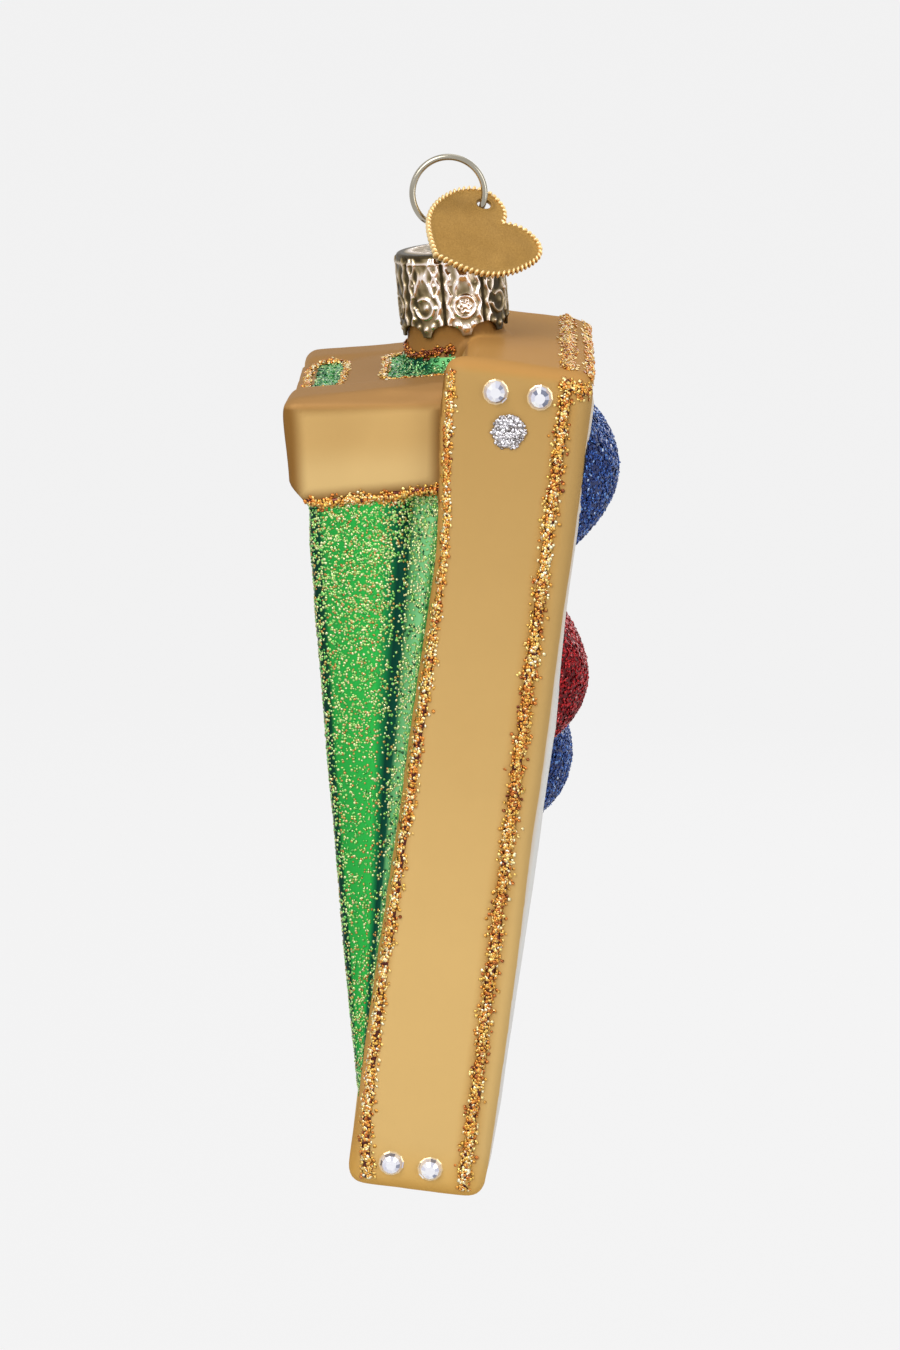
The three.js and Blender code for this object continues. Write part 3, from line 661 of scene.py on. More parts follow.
# Painted shading down the sides: darker near the top of the board, lighter lower down and on the lower part
# of the legs. At the very foot the tan turns more golden.
tan = blend(tree, spread(tree, way_down, 0.05, 0.7, smooth=False), tone(189, 151, 91), tone(217, 180, 115))
tan = blend(tree, is_leg, tan, tone(205, 167, 106))
tan = blend(tree, attribute(tree, "leg_low"), tan, tone(216, 182, 122))
edge_shade_tone = blend(tree, is_leg, tone(192, 146, 78), tone(140, 100, 50))
tan = blend(tree, shade_near_edges, tan, edge_shade_tone)
# Painted shade on the tops: faces that look up turn darker and more orange, the tops of the legs olive.
tan = blend(tree, is_up, tan, tone(198, 148, 84))
leg_top = calc(tree, "MULTIPLY", is_up, is_leg)
tan = blend(tree, leg_top, tan, tone(172, 130, 80))
# Painted shade under the cap: the foot of the neck turns dark olive-brown.
tan = blend(tree, attribute(tree, "neck"), tan, tone(150, 108, 56))
tan = blend(tree, spread(tree, way_down, 0.93, 1.0, 0, 0.7), tan, tone(212, 164, 82))
# Painted light across the green walls: dark at the ground edge, bright over the middle, a dark band of
# painted shade along the valley, a pale band of painted reflection near the board, then darker green lower
# down the board.
band = calc(tree, "ADD", attribute(tree, "across_grass"), sway(tree, streak, 0.18))
green_paint = ramp(tree, band, (
    (0.0, tone(14, 58, 44)), (0.06, tone(18, 70, 48)), (0.11, tone(44, 164, 68)), (0.54, tone(52, 192, 80)),
    (0.62, tone(26, 132, 70)), (0.69, tone(12, 64, 50)), (0.77, tone(14, 78, 58)),
    (0.82, tone(100, 176, 110)), (0.95, tone(132, 208, 140)), (1.0, tone(84, 166, 94)),
))
green_paint = blend(tree, spread(tree, way_down, 0.72, 0.9, 0, 0.35), green_paint, tone(16, 100, 52))
white_paint = blend(tree, cloud, tone(232, 230, 226), tone(244, 243, 239))
# Painted shade: the white turns pinkish grey within a millimetre of the panel's edge.
panel_edge_shade = spread(tree, attribute(tree, "panel"), 0.1, 1.0, 0.8, 0)
white_paint = blend(tree, panel_edge_shade, white_paint, tone(228, 206, 178))
is_green = spread(tree, attribute(tree, "green"), -0.12, 0.12)
is_panel = spread(tree, attribute(tree, "panel"), -0.06, 0.1)
is_hole = spread(tree, attribute(tree, "hole"), -0.1, 0.1)
color = blend(tree, is_green, tan, green_paint)
color = blend(tree, is_panel, color, white_paint)
color = blend(tree, is_hole, color, tone(26, 22, 20))
join(tree, color, shader.inputs["Base Color"])
metal = calc(tree, "MAXIMUM", calc(tree, "MULTIPLY", is_green, 0.7), calc(tree, "MULTIPLY", leg_top, 0.15))
metal = calc(tree, "MULTIPLY", metal, calc(tree, "SUBTRACT", 1.0, is_panel))
join(tree, metal, shader.inputs["Metallic"])
rough = spread(tree, is_green, 0, 1, 0.42, 0.3)
rough = calc(tree, "ADD", rough, spread(tree, attribute(tree, "hollow"), -0.1, 0.1, 0, 0.35))
rough = calc(tree, "ADD", rough, sway(tree, streak, 0.12))
join(tree, rough, shader.inputs["Roughness"])
fixed(shader, {"Specular IOR Level": 0.0, "Coat Weight": 0.07, "Coat Roughness": 0.3})
bump(tree, shader, grain(tree, 900, 2.0), 0.00002, 0.35)
clad(glass, lacquer)
glass_skin = BVHTree.FromObject(glass, bpy.context.evaluated_depsgraph_get())
settle(glass, MILLIMETRES)
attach(glass, "glass")
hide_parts("glass_body")


# Gold glitter lines
# Coarse gold, copper and orange hexagonal glitter, strewn into beads of glue along the edges and
# seams. Each line is one piece: a low lumpy bead of glue, dark as painted shade between the flakes,
# and the flakes that lie on it.

dice = np.random.default_rng(20)

bpy.ops.object.select_all(action="DESELECT")
bpy.ops.mesh.primitive_cylinder_add(vertices=6, radius=1, depth=1)
flake = bpy.context.object
FLAKE_POINTS = np.array([vertex.co[:] for vertex in flake.data.vertices])
FLAKE_CORNERS = len(FLAKE_POINTS)
FLAKE_LOOPS = np.array([index for face in flake.data.polygons for index in face.vertices])
FLAKE_STARTS = np.array([face.loop_start for face in flake.data.polygons])
FLAKE_TOTALS = np.array([face.loop_total for face in flake.data.polygons])
bpy.data.objects.remove(flake)


def flake_layer(name, spots, facing, tint, sizes, tilt, thick=0.05):
    """One mesh of copies of the flake, each laid on its spot and tipped a little at random."""
    count = len(spots)
    facing = facing / np.linalg.norm(facing, axis=1)[:, None]
    tip = dice.normal(size=(count, 3))
    tip -= facing * (tip * facing).sum(1)[:, None]
    tip /= np.linalg.norm(tip, axis=1)[:, None]
    lean = np.abs(dice.normal(0, tilt, count))[:, None]
    upward = facing * np.cos(lean) + tip * np.sin(lean)
    first = np.cross(upward, dice.normal(size=(count, 3)))
    first /= np.linalg.norm(first, axis=1)[:, None]
    second = np.cross(upward, first)
    size = dice.uniform(*sizes, count)[:, None, None]
    corners = (
        spots[:, None]
        + FLAKE_POINTS[None, :, 0, None] * size * first[:, None]
        + FLAKE_POINTS[None, :, 1, None] * size * second[:, None]
        + FLAKE_POINTS[None, :, 2, None] * thick * upward[:, None]
    )
    number = np.arange(count)[:, None]
    loops_each = len(FLAKE_LOOPS)
    mesh = bpy.data.meshes.new(name)
    mesh.vertices.add(FLAKE_CORNERS * count)
    mesh.vertices.foreach_set("co", corners.ravel())
    mesh.loops.add(loops_each * count)
    mesh.loops.foreach_set("vertex_index", (FLAKE_LOOPS[None] + FLAKE_CORNERS * number).ravel())
    mesh.polygons.add(len(FLAKE_STARTS) * count)
    mesh.polygons.foreach_set("loop_start", (FLAKE_STARTS[None] + loops_each * number).ravel())
    mesh.polygons.foreach_set("loop_total", np.tile(FLAKE_TOTALS, count))
    mesh.update(calc_edges=True)
    piece = bpy.data.objects.new(name, mesh)
    scene.collection.objects.link(piece)
    store(piece, "tint", np.repeat(np.clip(tint, 0.06, 1), FLAKE_CORNERS))
    return piece


def between(t, low, high, first, second):
    """The point at t on the straight from first, at low, to second, at high."""
    return first * ((high - t) / (high - low)) + second * ((t - low) / (high - low))


def smooth_trail(points, per_span):
    """Centripetal curve through the points, sampled evenly in each span."""
    spots = [Vector(point) for point in points]
    spots = [2 * spots[0] - spots[1], *spots, 2 * spots[-1] - spots[-2]]
    trail = []
    for a, b, c, d in zip(spots, spots[1:], spots[2:], spots[3:]):
        knots = [0.0]
        for start, end in ((a, b), (b, c), (c, d)):
            knots.append(knots[-1] + max((end - start).length, 1e-6) ** 0.5)
        for k in range(per_span):
            t = knots[1] + (knots[2] - knots[1]) * k / per_span
            ab = between(t, knots[0], knots[1], a, b)
            bc = between(t, knots[1], knots[2], b, c)
            cd = between(t, knots[2], knots[3], c, d)
            abc = between(t, knots[0], knots[2], ab, bc)
            bcd = between(t, knots[1], knots[3], bc, cd)
            trail.append(between(t, knots[1], knots[2], abc, bcd))
    trail.append(spots[-2])
    return trail


def tube(name, trail, radius, resolution, wobble=None):
    """A closed round bar along a trail."""
    bpy.ops.object.select_all(action="DESELECT")
    bpy.ops.curve.primitive_nurbs_path_add()
    cord = bpy.context.object
    cord.name = name
    spline = cord.data.splines[0]
    missing = len(trail) - len(spline.points)
    if missing > 0:
        spline.points.add(missing)
    for i, spot in enumerate(trail):
        spline.points[i].co = (*spot, 1)
        spline.points[i].radius = 1 if wobble is None else wobble[i]
    spline.order_u = 3
    spline.use_endpoint_u = True
    spline.resolution_u = 2
    cord.data.bevel_depth = radius
    cord.data.bevel_resolution = resolution
    cord.data.use_fill_caps = True
    bpy.ops.object.convert(target="MESH")
    cord = bpy.context.object
    bpy.ops.object.mode_set(mode="EDIT")
    bpy.ops.mesh.select_all(action="SELECT")
    bpy.ops.mesh.remove_doubles(threshold=0.0005)
    end_outward()
    return cord


def glitter_line(name, points, place, half, per_millimetre, warm=0.0, thin_start=0):
    """A lumpy bead of glue through the points, laid on the glass, and the flakes strewn on it."""
    trail = [place @ spot for spot in smooth_trail(points, 24)]
    lengths = np.cumsum([0] + [(b - a).length for a, b in zip(trail, trail[1:])])
    total = lengths[-1]
    steps = max(8, int(total / 0.6))
    reached = total * np.arange(steps + 1) / steps
    fine = np.stack([np.interp(reached, lengths, [spot[i] for spot in trail]) for i in range(3)], 1)
    seats, outward = [], []
    for spot in fine:
        seat, normal, _, _ = glass_skin.find_nearest(Vector(spot))
        seats.append(seat[:])
        outward.append(normal[:])
    seats, outward = np.array(seats), np.array(outward)
    for _ in range(3):
        seats[1:-1] = (seats[:-2] + 2 * seats[1:-1] + seats[2:]) / 4
        outward[1:-1] = (outward[:-2] + 2 * outward[1:-1] + outward[2:]) / 4
    outward /= np.linalg.norm(outward, axis=1)[:, None]
    ahead = np.gradient(seats, axis=0)
    aside = np.cross(ahead, outward)
    aside /= np.linalg.norm(aside, axis=1)[:, None]
    seed = dice.uniform(0, 50)
    swell = np.array([
        1 + 0.22 * noise.noise(Vector((seed, 0.45 * k, 0))) + 0.1 * noise.noise(Vector((seed, 1.3 * k, 5)))
        for k in range(steps + 1)
    ])
    swell *= 1 - 0.38 * ramp_up(-reached, -thin_start - 1e-3, -0.5 * thin_start)
    wander = [0.22 * half * noise.noise(Vector((seed + 9, 0.2 * k, 0))) for k in range(steps + 1)]
    seats += aside * np.array(wander)[:, None]
    core = [tuple(spot) for spot in seats - 0.32 * half * outward]
    bead = tube(name, core, 0.72 * half, 2, wobble=list(swell))
    for vertex in bead.data.vertices:
        vertex.co += 0.1 * noise.noise_vector(vertex.co * 1.6)
    # The bead takes the darkest tint, painted shade in the gaps between the flakes.
    store(bead, "tint", np.zeros(len(bead.data.vertices)))
    bead_skin = BVHTree.FromObject(bead, bpy.context.evaluated_depsgraph_get())
    count = int(total * per_millimetre)
    where = dice.uniform(0, steps, count)
    low = np.minimum(where.astype(int), steps - 1)
    part = (where - low)[:, None]
    offset = np.clip(dice.normal(0, 0.5, count), -1.15, 1.15)
    stray = dice.random(count) < 0.04
    offset[stray] = dice.uniform(-1.6, 1.6, stray.sum())
    width = half * np.interp(where, np.arange(steps + 1), swell)
    centre = seats[low] * (1 - part) + seats[low + 1] * part
    out_here = outward[low] * (1 - part) + outward[low + 1] * part
    side_here = aside[low] * (1 - part) + aside[low + 1] * part
    aim = centre + side_here * (offset * width)[:, None]
    spots, facing, tints = [], [], []
    for i in range(count):
        start = Vector(aim[i] + 3 * out_here[i])
        away = Vector(-out_here[i])
        found = [skin.ray_cast(start, away, 6) for skin in (glass_skin, bead_skin)]
        hits = [hit for hit in found if hit[0]]
        if not hits:
            continue
        spot, normal, _, _ = min(hits, key=lambda hit: hit[3])
        spots.append(np.array(spot) + np.array(normal) * dice.uniform(0.03, 0.13))
        facing.append(np.array(normal) + 0.25 * out_here[i])
        drift = 0.16 * noise.noise(Vector((seed, 0.09 * where[i], 3)))
        tints.append(dice.beta(1.9, 1.5) + drift + warm)
    spots, facing, tints = np.array(spots), np.array(facing), np.array(tints)
    layer = flake_layer(name + "_flakes", spots, facing, tints, (0.17, 0.26), 0.42)
    line = joined(bead, [layer])
    line.name = name.replace("_line", "_glitter_line")
    clad(line, gold_glitter)
    settle(line, MILLIMETRES)
    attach(line, "glass")
    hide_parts(name)


def glitter_paint(name, stops, roughness, metallic=0.85, coat=0.4):
    """Metal flakes whose colour follows their tint: their own colours, with painted light at both ends, dark
    for shade and near white for glints.
    """
    material, tree, shader = paint(name)
    join(tree, ramp(tree, attribute(tree, "tint"), stops), shader.inputs["Base Color"])
    speckle = spread(tree, grain(tree, 2500, 1.0), 0.3, 0.7, roughness - 0.08, roughness + 0.08)
    join(tree, speckle, shader.inputs["Roughness"])
    fixed(shader, {"Metallic": metallic, "Coat Weight": coat, "Coat Roughness": 0.12})
    return material


# The darkest red-brown stops are painted shade among the flakes, the palest painted glints.
gold_glitter = glitter_paint("gold_glitter_in_glue", (
    (0.0, tone(84, 26, 14)), (0.09, tone(132, 62, 22)), (0.2, tone(186, 104, 40)), (0.36, tone(222, 140, 56)),
    (0.52, tone(216, 154, 60)), (0.68, tone(230, 184, 84)), (0.84, tone(248, 220, 138)),
    (1.0, tone(255, 250, 218)),
), 0.3)

foot = BOARD_LENGTH - 1.2
for label, side in (("left", -1), ("right", 1)):
    face = side * BOARD_HALF
    glitter_line(f"{label}_ground_edge_line", [
        (-1.5, face, -1.5), (-1.3, face, -3.6), (-0.9, face, -7), (-0.65, face, -11.7), (-0.3, face, -15.2),
        (0.3, face, -20.5), (ground_edge(28) + 0.7, face, -28), (ground_edge(50) + 0.6, face, -50),
        (ground_edge(80) + 0.6, face, -80), (ground_edge(90) + 1.15, face, -90),
        (ground_edge(foot) + 2.3, face, -foot),
    ], BOARD_PLACE, 0.82, 26, warm=0.07, thin_start=42)
    glitter_line(f"{label}_deck_seam_line", [
        (deck_seam(2), face, -2.3), (deck_seam(35), face, -35), (deck_seam(65), face, -65),
        (deck_seam(foot), face, -foot),
    ], BOARD_PLACE, 0.84, 28, warm=0.02)
    glitter_line(f"{label}_corner_line", [
        (deck_seam(0) - 0.8, face, -1.4), (deck_seam(0) + 1, face, -2), (DECK_FACE - 0.2, side * 21.1, -2),
    ], BOARD_PLACE, 0.85, 30, warm=0.04)
    glitter_line(f"{label}_leg_line", [
        (-0.8, side * 19.2, 71.1), (4, side * 19.2, 71.3), (9, side * 19.2, 71.5), (15.3, side * 19.3, 71.9),
    ], GROUND_PLACE, 0.74, 27)

glitter_line("top_seam_line", [
    (deck_seam(0), -20.2, 0), (deck_seam(0), 0, 0), (deck_seam(0), 20.2, 0),
], BOARD_PLACE, 0.75, 25)
glitter_line("deck_edge_line", [
    (14.7, -20.2, -0.6), (14.7, 0, -0.6), (14.7, 20.2, -0.6),
], BOARD_PLACE, 0.7, 24)
glitter_line("foot_recess_line", [
    (4.1, -8.1, 83), (4.1, 8.6, 83), (3.0, 10.3, 83.4), (1.2, 10.3, 83.4), (0.3, 8.6, 83), (0.3, -8.6, 83),
    (1.2, -10.3, 83.4), (2.8, -10.3, 83.4),
], GROUND_PLACE, 0.42, 15, warm=0.05)
glitter_line("neck_recess_line", [
    (16.4, -10.4, 84.4), (10.7, -10.4, 84), (9.3, -8.9, 83.6), (9.2, 0, 83.6), (9.3, 8.9, 83.6),
    (10.7, 10.4, 84), (16.4, 10.4, 84.4),
], GROUND_PLACE, 0.42, 15, warm=0.05)
around_neck = [
    NECK_PLACE @ Vector((6.2 * math.cos(math.radians(angle)), 6.2 * math.sin(math.radians(angle)), height))
    for angle, height in (
        (92, -10.9), (105, -11.1), (120, -11.6), (135, -11.75), (150, -11.5), (165, -11.1), (180, -10.7),
        (195, -11.1), (210, -11.5), (225, -11.75), (240, -11.6), (255, -11.1), (268, -10.9),
    )
]
glitter_line("neck_foot_line", around_neck, Matrix.Identity(4), 0.5, 20, warm=-0.44)


# Glitter on the grass
# Finer gold glitter strewn on the green walls, thickest under the legs and thin along the valley with
# its painted shade, and a close coat of green glitter in the two hollows between the legs.


def triangle_rows(piece):
    """The three vertices of every triangle."""
    piece.data.calc_loop_triangles()
    return np.array([triangle.vertices[:] for triangle in piece.data.loop_triangles])


def crossed(corners):
    """The normal of every triangle, as long as twice its area."""
    return np.cross(corners[:, 1] - corners[:, 0], corners[:, 2] - corners[:, 0])


def scattered(corners, chance, per_area):
    """Spots strewn over triangles by chance, with the triangle and the corner weights of each."""
    picked = dice.choice(len(chance), int(per_area * chance.sum()), p=chance / chance.sum())
    u, v = dice.random(len(picked)), dice.random(len(picked))
    flip = u + v > 1
    u[flip], v[flip] = 1 - u[flip], 1 - v[flip]
    weights = np.stack((1 - u - v, u, v), 1)[:, :, None]
    return (corners[picked] * weights).sum(1), picked, weights


skin_triangles = triangle_rows(glass)
skin_corners = points[skin_triangles]
skin_area = np.linalg.norm(crossed(skin_corners), axis=1) / 2
skin_normals = vertex_rows(glass, "normal")


def strewn(per_area, keep):
    """Spots on the glass, kept by chance, and the ways that they face."""
    chance = skin_area * keep[skin_triangles].mean(1)
    spots, picked, weights = scattered(skin_corners, chance, per_area)
    facing = (skin_normals[skin_triangles[picked]] * weights).sum(1)
    return spots + 0.04 * facing, facing


patches = np.array([noise.noise(Vector(p) * 0.16) for p in points])
wall_keep = np.clip(grass_wall * 4, 0, 1) * (1.0 + 0.7 * np.exp(-((down - 18) / 14) ** 2) + 0.7 * patches)
wall_keep = np.where(np.abs(skin_normals[:, 1]) > 0.35, wall_keep, 0.55 * wall_keep).clip(0)
wall_keep *= 1 - 0.6 * np.exp(-((across_grass - 0.71) / 0.07) ** 2) * ramp_up(down, 20, 26)
spots, facing = strewn(8.4, wall_keep)
tints = 0.28 + 0.72 * dice.beta(1.2, 1.5, len(spots))
# Flakes in the pale band of painted reflection near the board take a few set tints.
in_highlight_band = across_wedge(seen_from(GROUND_PLACE, spots)) > 0.79
tints[in_highlight_band] = dice.choice((0.1, 0.46, 0.58, 0.64, 0.7, 0.74, 0.76, 0.78), in_highlight_band.sum())
grass_glitter = flake_layer("grass_glitter", spots, facing, tints, (0.11, 0.19), 0.3)
clad(grass_glitter, glitter_paint("gold_glitter_on_green", (
    (0.0, tone(10, 62, 44)), (0.2, tone(30, 110, 60)), (0.34, tone(90, 190, 90)), (0.46, tone(136, 204, 108)),
    (0.6, tone(184, 216, 124)), (0.76, tone(232, 238, 184)), (0.84, tone(196, 164, 84)),
    (1.0, tone(186, 118, 62)),
), 0.3))
settle(grass_glitter, MILLIMETRES)
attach(grass_glitter, "glass")

spots, facing = strewn(9.0, np.clip(hollow * 3, 0, 1))
tints = dice.beta(1.6, 1.4, len(spots))
hollow_glitter = flake_layer("hollow_glitter", spots, facing, tints, (0.17, 0.25), 0.4)
clad(hollow_glitter, glitter_paint("green_glitter_in_glue", (
    (0.0, tone(14, 70, 40)), (0.25, tone(40, 120, 70)), (0.5, tone(86, 168, 104)),
    (0.75, tone(140, 200, 130)), (1.0, tone(226, 236, 170)),
), 0.3))
settle(hollow_glitter, MILLIMETRES)
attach(hollow_glitter, "glass")


# Bean bags
# Three swellings of the deck under a close coat of glitter, two blue and one red. The red one
# lies partly on the lower blue one.

blue_glitter = glitter_paint("blue_glitter_in_glue", (
    (0.0, tone(10, 24, 66)), (0.3, tone(24, 54, 124)), (0.6, tone(44, 88, 168)), (0.85, tone(96, 144, 212)),
    (1.0, tone(214, 230, 252)),
), 0.28)
red_glitter = glitter_paint("red_glitter_in_glue", (
    (0.0, tone(70, 6, 12)), (0.3, tone(130, 12, 22)), (0.6, tone(184, 24, 34)), (0.85, tone(216, 50, 56)),
    (1.0, tone(255, 170, 168)),
), 0.3, coat=0.12)
coats = []
for name, *lie in BAGS:
    coat = pillow(name + "_coat", *lie, 0.45, 30)
    only(coat)
    bpy.ops.object.mode_set(mode="EDIT")
    bpy.ops.mesh.select_all(action="SELECT")
    bpy.ops.mesh.bisect(
        plane_co=BOARD_PLACE @ Vector((DECK_FACE + 0.2, 0, 0)),
        plane_no=BOARD_PLACE.to_3x3() @ Vector((1, 0, 0)), use_fill=True, clear_inner=True,
    )
    bpy.ops.object.mode_set(mode="OBJECT")
    coats.append(coat)
only(coats[1])
bpy.ops.object.duplicate()
cut(coats[2], bpy.context.object)
for (name, *_), coat in zip(BAGS, coats):
    bag_corners = vertex_rows(coat)[triangle_rows(coat)]
    crosses = crossed(bag_corners)
    area = np.linalg.norm(crosses, axis=1) / 2
    outward_x = seen_from(BOARD_PLACE, crosses, True)[:, 0] / np.maximum(2 * area, 1e-9)
    spots, picked, _ = scattered(bag_corners, np.where(outward_x > -0.2, area, 0), 12.5)
    facing = crosses[picked] / (2 * area[picked])[:, None]
    spots += facing * dice.uniform(0.0, 0.09, len(spots))[:, None]
    tints = dice.beta(1.5, 2.0, len(spots))
    store(coat, "tint", np.full(len(coat.data.vertices), 0.1))
    coat = joined(coat, [flake_layer(name + "_flakes", spots, facing, tints, (0.15, 0.23), 0.4)])
    coat.name = name.replace("_glitter", "_coat")
    clad(coat, red_glitter if name.startswith("red") else blue_glitter)
    settle(coat, MILLIMETRES)
    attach(coat, "glass")
    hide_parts(name)


# Stones and bolt dots
# Flat-back stones with a foil behind, glued in pairs near the corners of each side, and a dot
# of coarse silver glitter that stands for the bolt of the leg.

stone_glass, tree, shader = paint("foil_backed_stone")
color = ramp(tree, attribute(tree, "facet"), (
    (0.0, tone(226, 196, 144)), (0.04, tone(226, 196, 144)), (0.06, tone(96, 104, 130)),
    (0.16, tone(150, 154, 176)), (0.32, tone(200, 202, 224)), (0.6, tone(232, 232, 244)),
    (1.0, tone(255, 255, 255)),
))
join(tree, color, shader.inputs["Base Color"])
fixed(shader, {"Metallic": 0.35, "Roughness": 0.08, "Coat Weight": 1.0, "Coat Roughness": 0.03})

silver_glitter = glitter_paint("silver_glitter_in_glue", (
    (0.0, tone(116, 110, 108)), (0.25, tone(164, 158, 158)), (0.5, tone(204, 200, 204)),
    (0.8, tone(236, 234, 240)), (1.0, tone(255, 255, 255)),
), 0.2)

UPPER_STONE = 9.02
LOWER_STONE = 8.4
STONE_RINGS = ((1.52, -0.12), (1.5, 0.05), (1.34, 0.14), (1.3, 0.22), (1.06, 0.7), (0.6, 1.04))
DOT_RINGS = ((1.85, -0.2), (1.8, 0.16), (1.4, 0.3), (0.7, 0.38))
DOT_FLAKES = 270


def seat_on_side(x, side, z):
    """A place on the skin at the side of the board, its Z outwards."""
    seat = glass_skin.find_nearest(BOARD_PLACE @ Vector((x, side * BOARD_HALF, z)))[0]
    outward_turn = Matrix.Rotation(math.radians(-90 * side), 4, "X")
    return Matrix.Translation(seat) @ BOARD_PLACE.to_3x3().to_4x4() @ outward_turn


for label, side in (("left", -1), ("right", 1)):
    for node, x, z in (
        ("stone_upper_outer", UPPER_STONE, -3.4), ("stone_upper_inner", UPPER_STONE - 5.05, -3.4),
        ("stone_lower_outer", LOWER_STONE, -95.5), ("stone_lower_inner", LOWER_STONE - 4.6, -95.4),
    ):
        seat_place = seat_on_side(x, side, z) @ Matrix.Rotation(dice.uniform(0, 6), 4, "Z")
        stone = turned(f"{label}_{node}_faceted", STONE_RINGS, seat_place, 12)
        # After the back, faces come 12 to a ring: two rings of glue, the girdle, then the facets.
        # Painted reflections in the facets: most pale lavender to white, five dark grey-blue ones on the
        # crown.
        shade = dice.uniform(0.35, 1.0, len(stone.data.polygons))
        shade[dice.integers(37, len(shade) - 1, 5)] = dice.uniform(0.07, 0.18, 5)
        shade[[i for i, face in enumerate(stone.data.polygons) if len(face.vertices) > 4]] = 0.75
        shade[:25] = 0
        store(stone, "facet", shade, "FACE")
        clad(stone, stone_glass)
        settle(stone, MILLIMETRES)
        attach(stone, "glass")
        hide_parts(f"{label}_{node}")
    seat_place = seat_on_side(UPPER_STONE - 3.0, side, -7.75)
    dot = turned(f"{label}_dot", DOT_RINGS, Matrix.Identity(4), 40)
    reach = 1.95 * np.sqrt(dice.random(DOT_FLAKES))
    angle = dice.uniform(0, 2 * math.pi, DOT_FLAKES)
    height = np.where(reach > 1.78, 0.12, 0.4 - 0.07 * reach ** 2) + dice.uniform(0.0, 0.12, DOT_FLAKES)
    spots = np.stack((reach * np.cos(angle), reach * np.sin(angle), height), 1)
    facing = np.stack((0.12 * spots[:, 0], 0.12 * spots[:, 1], np.ones(DOT_FLAKES)), 1)
    tints = dice.beta(1.5, 1.1, DOT_FLAKES)
    store(dot, "tint", np.full(len(dot.data.vertices), 0.12))
    dot = joined(dot, [flake_layer(f"{label}_dot_flakes", spots, facing, tints, (0.17, 0.25), 0.42)])
    dot.name = f"{label}_silver_dot"
    clad(dot, silver_glitter)
    settle(dot, MILLIMETRES @ seat_place)
    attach(dot, "glass")
    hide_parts(f"{label}_bolt_dot")


# Cap
# Thin champagne-coloured sheet metal, drawn to a cup with a scalloped skirt and embossed all round
# with rosettes, scrolls and beads, dark in the hollows. Two holes in its top let the wire through.

CAP_RADIUS = 6.25
CAP_HEIGHT = 9.6
rings = [(5.9, -0.4), (5.9, -5), (5.9, -CAP_HEIGHT), (CAP_RADIUS, -CAP_HEIGHT)]
rings += [(CAP_RADIUS, -CAP_HEIGHT + 0.11 * k) for k in range(1, 82)]
rings += [(6.22, -0.45), (6.2, -0.28), (6.12, -0.12), (5.98, -0.03), (5.8, 0)]
rings += [(5.8 - 0.23 * k, 0) for k in range(1, 22)]
cap = turned("embossed_cap", rings, Matrix.Identity(4), 480)
for side in (-1, 1):
    cut(cap, turned("wire_hole", ((0.75, -1), (0.75, 1)), Matrix.Translation((side * 1.3, 0, 0)), 24))
cap_points = vertex_rows(cap)
spin = np.degrees(np.arctan2(cap_points[:, 1], cap_points[:, 0]))
reach = np.hypot(cap_points[:, 0], cap_points[:, 1])
height = cap_points[:, 2]
from_flute = (spin + 99 + 22.5) % 45 - 22.5
from_middle = (spin + 99) % 45 - 22.5
panel_number = np.floor(((spin + 99) % 360) / 45).astype(int)
flute_reach = np.abs(np.radians(from_flute)) * CAP_RADIUS
skirt = -CAP_HEIGHT + np.sqrt(np.clip(1.9 ** 2 - flute_reach ** 2, 0, None)) * 0.72
lobe = np.clip((-1.0 - height) / (CAP_HEIGHT - 1.0), 0, 1)
height = height + lobe * (skirt + CAP_HEIGHT)
s = np.radians(from_middle) * CAP_RADIUS


def ridge(distance, width):
    return np.exp(-(distance / width) ** 2)


odd = (panel_number % 2) == 0
r = np.hypot(s, height + 6.2)
about = np.arctan2(height + 6.2, s)
petals = 0.62 + 0.14 * np.cos(6 * about)
rosette = ridge(r - 1.25, 0.17) + 0.9 * ridge(r - petals, 0.14) + 0.9 * ridge(r, 0.3)
curl = ridge(r - 1.15, 0.2) * (about < 2.3) + 0.8 * ridge(np.hypot(s - 0.3, height + 6.1), 0.4)
leaf = ridge(np.abs(s) - 0.75 - 0.3 * np.sin(1.6 * (height + 1.5)), 0.22) * ridge(height + 3.2, 1.5)
bud = ridge(np.hypot(s, (height + 2.6) * 0.6), 0.34)
wave = ridge(np.abs(s) - 1.85 - 0.16 * np.sin(2.9 * height), 0.2)
wave += 0.8 * ridge(np.abs(s) - 1.2 - 0.22 * np.sin(2.3 * height + 1), 0.16) * (~odd) * (height > -5)
beads = ridge(np.hypot(np.abs(s) - 0.95, height + 8.3), 0.3) + ridge(np.hypot(s, height + 8.7), 0.34)
small_beads = ridge(np.hypot(np.abs(s) - 1.5, ((height + 0.3) % 1.3) - 0.65), 0.2)
top_band = ridge(height + 1.0, 0.18)
relief = np.where(odd, rosette, curl) + leaf + bud + wave + beads
relief += np.where(odd, 0.4, 0.9) * small_beads
relief = np.clip(relief + 0.8 * top_band, 0, 1.2)
flute = ridge(flute_reach, 0.15)
outside = ((reach > 6.05) & (height < -0.4)).astype(float)
rub = np.array([noise.noise(Vector(p) * 1.1) for p in cap_points])
push = outside * (0.26 * relief - 0.24 * flute - 0.06 + 0.05 * rub)
spokes = ridge(((spin % 15) - 7.5) * reach / 57.3, 0.25) * (reach > 2.6) * (reach < 4.4)
rose = ridge(reach - 4.6, 0.3) + 0.6 * spokes
on_top = ((height > -0.05) & (reach < 5.3)).astype(float)
factor = (reach + push) / np.maximum(reach, 1e-6)
cap_points[:, 0] *= factor
cap_points[:, 1] *= factor
cap_points[:, 2] = height + on_top * 0.12 * rose
cap.data.vertices.foreach_set("co", cap_points.ravel())
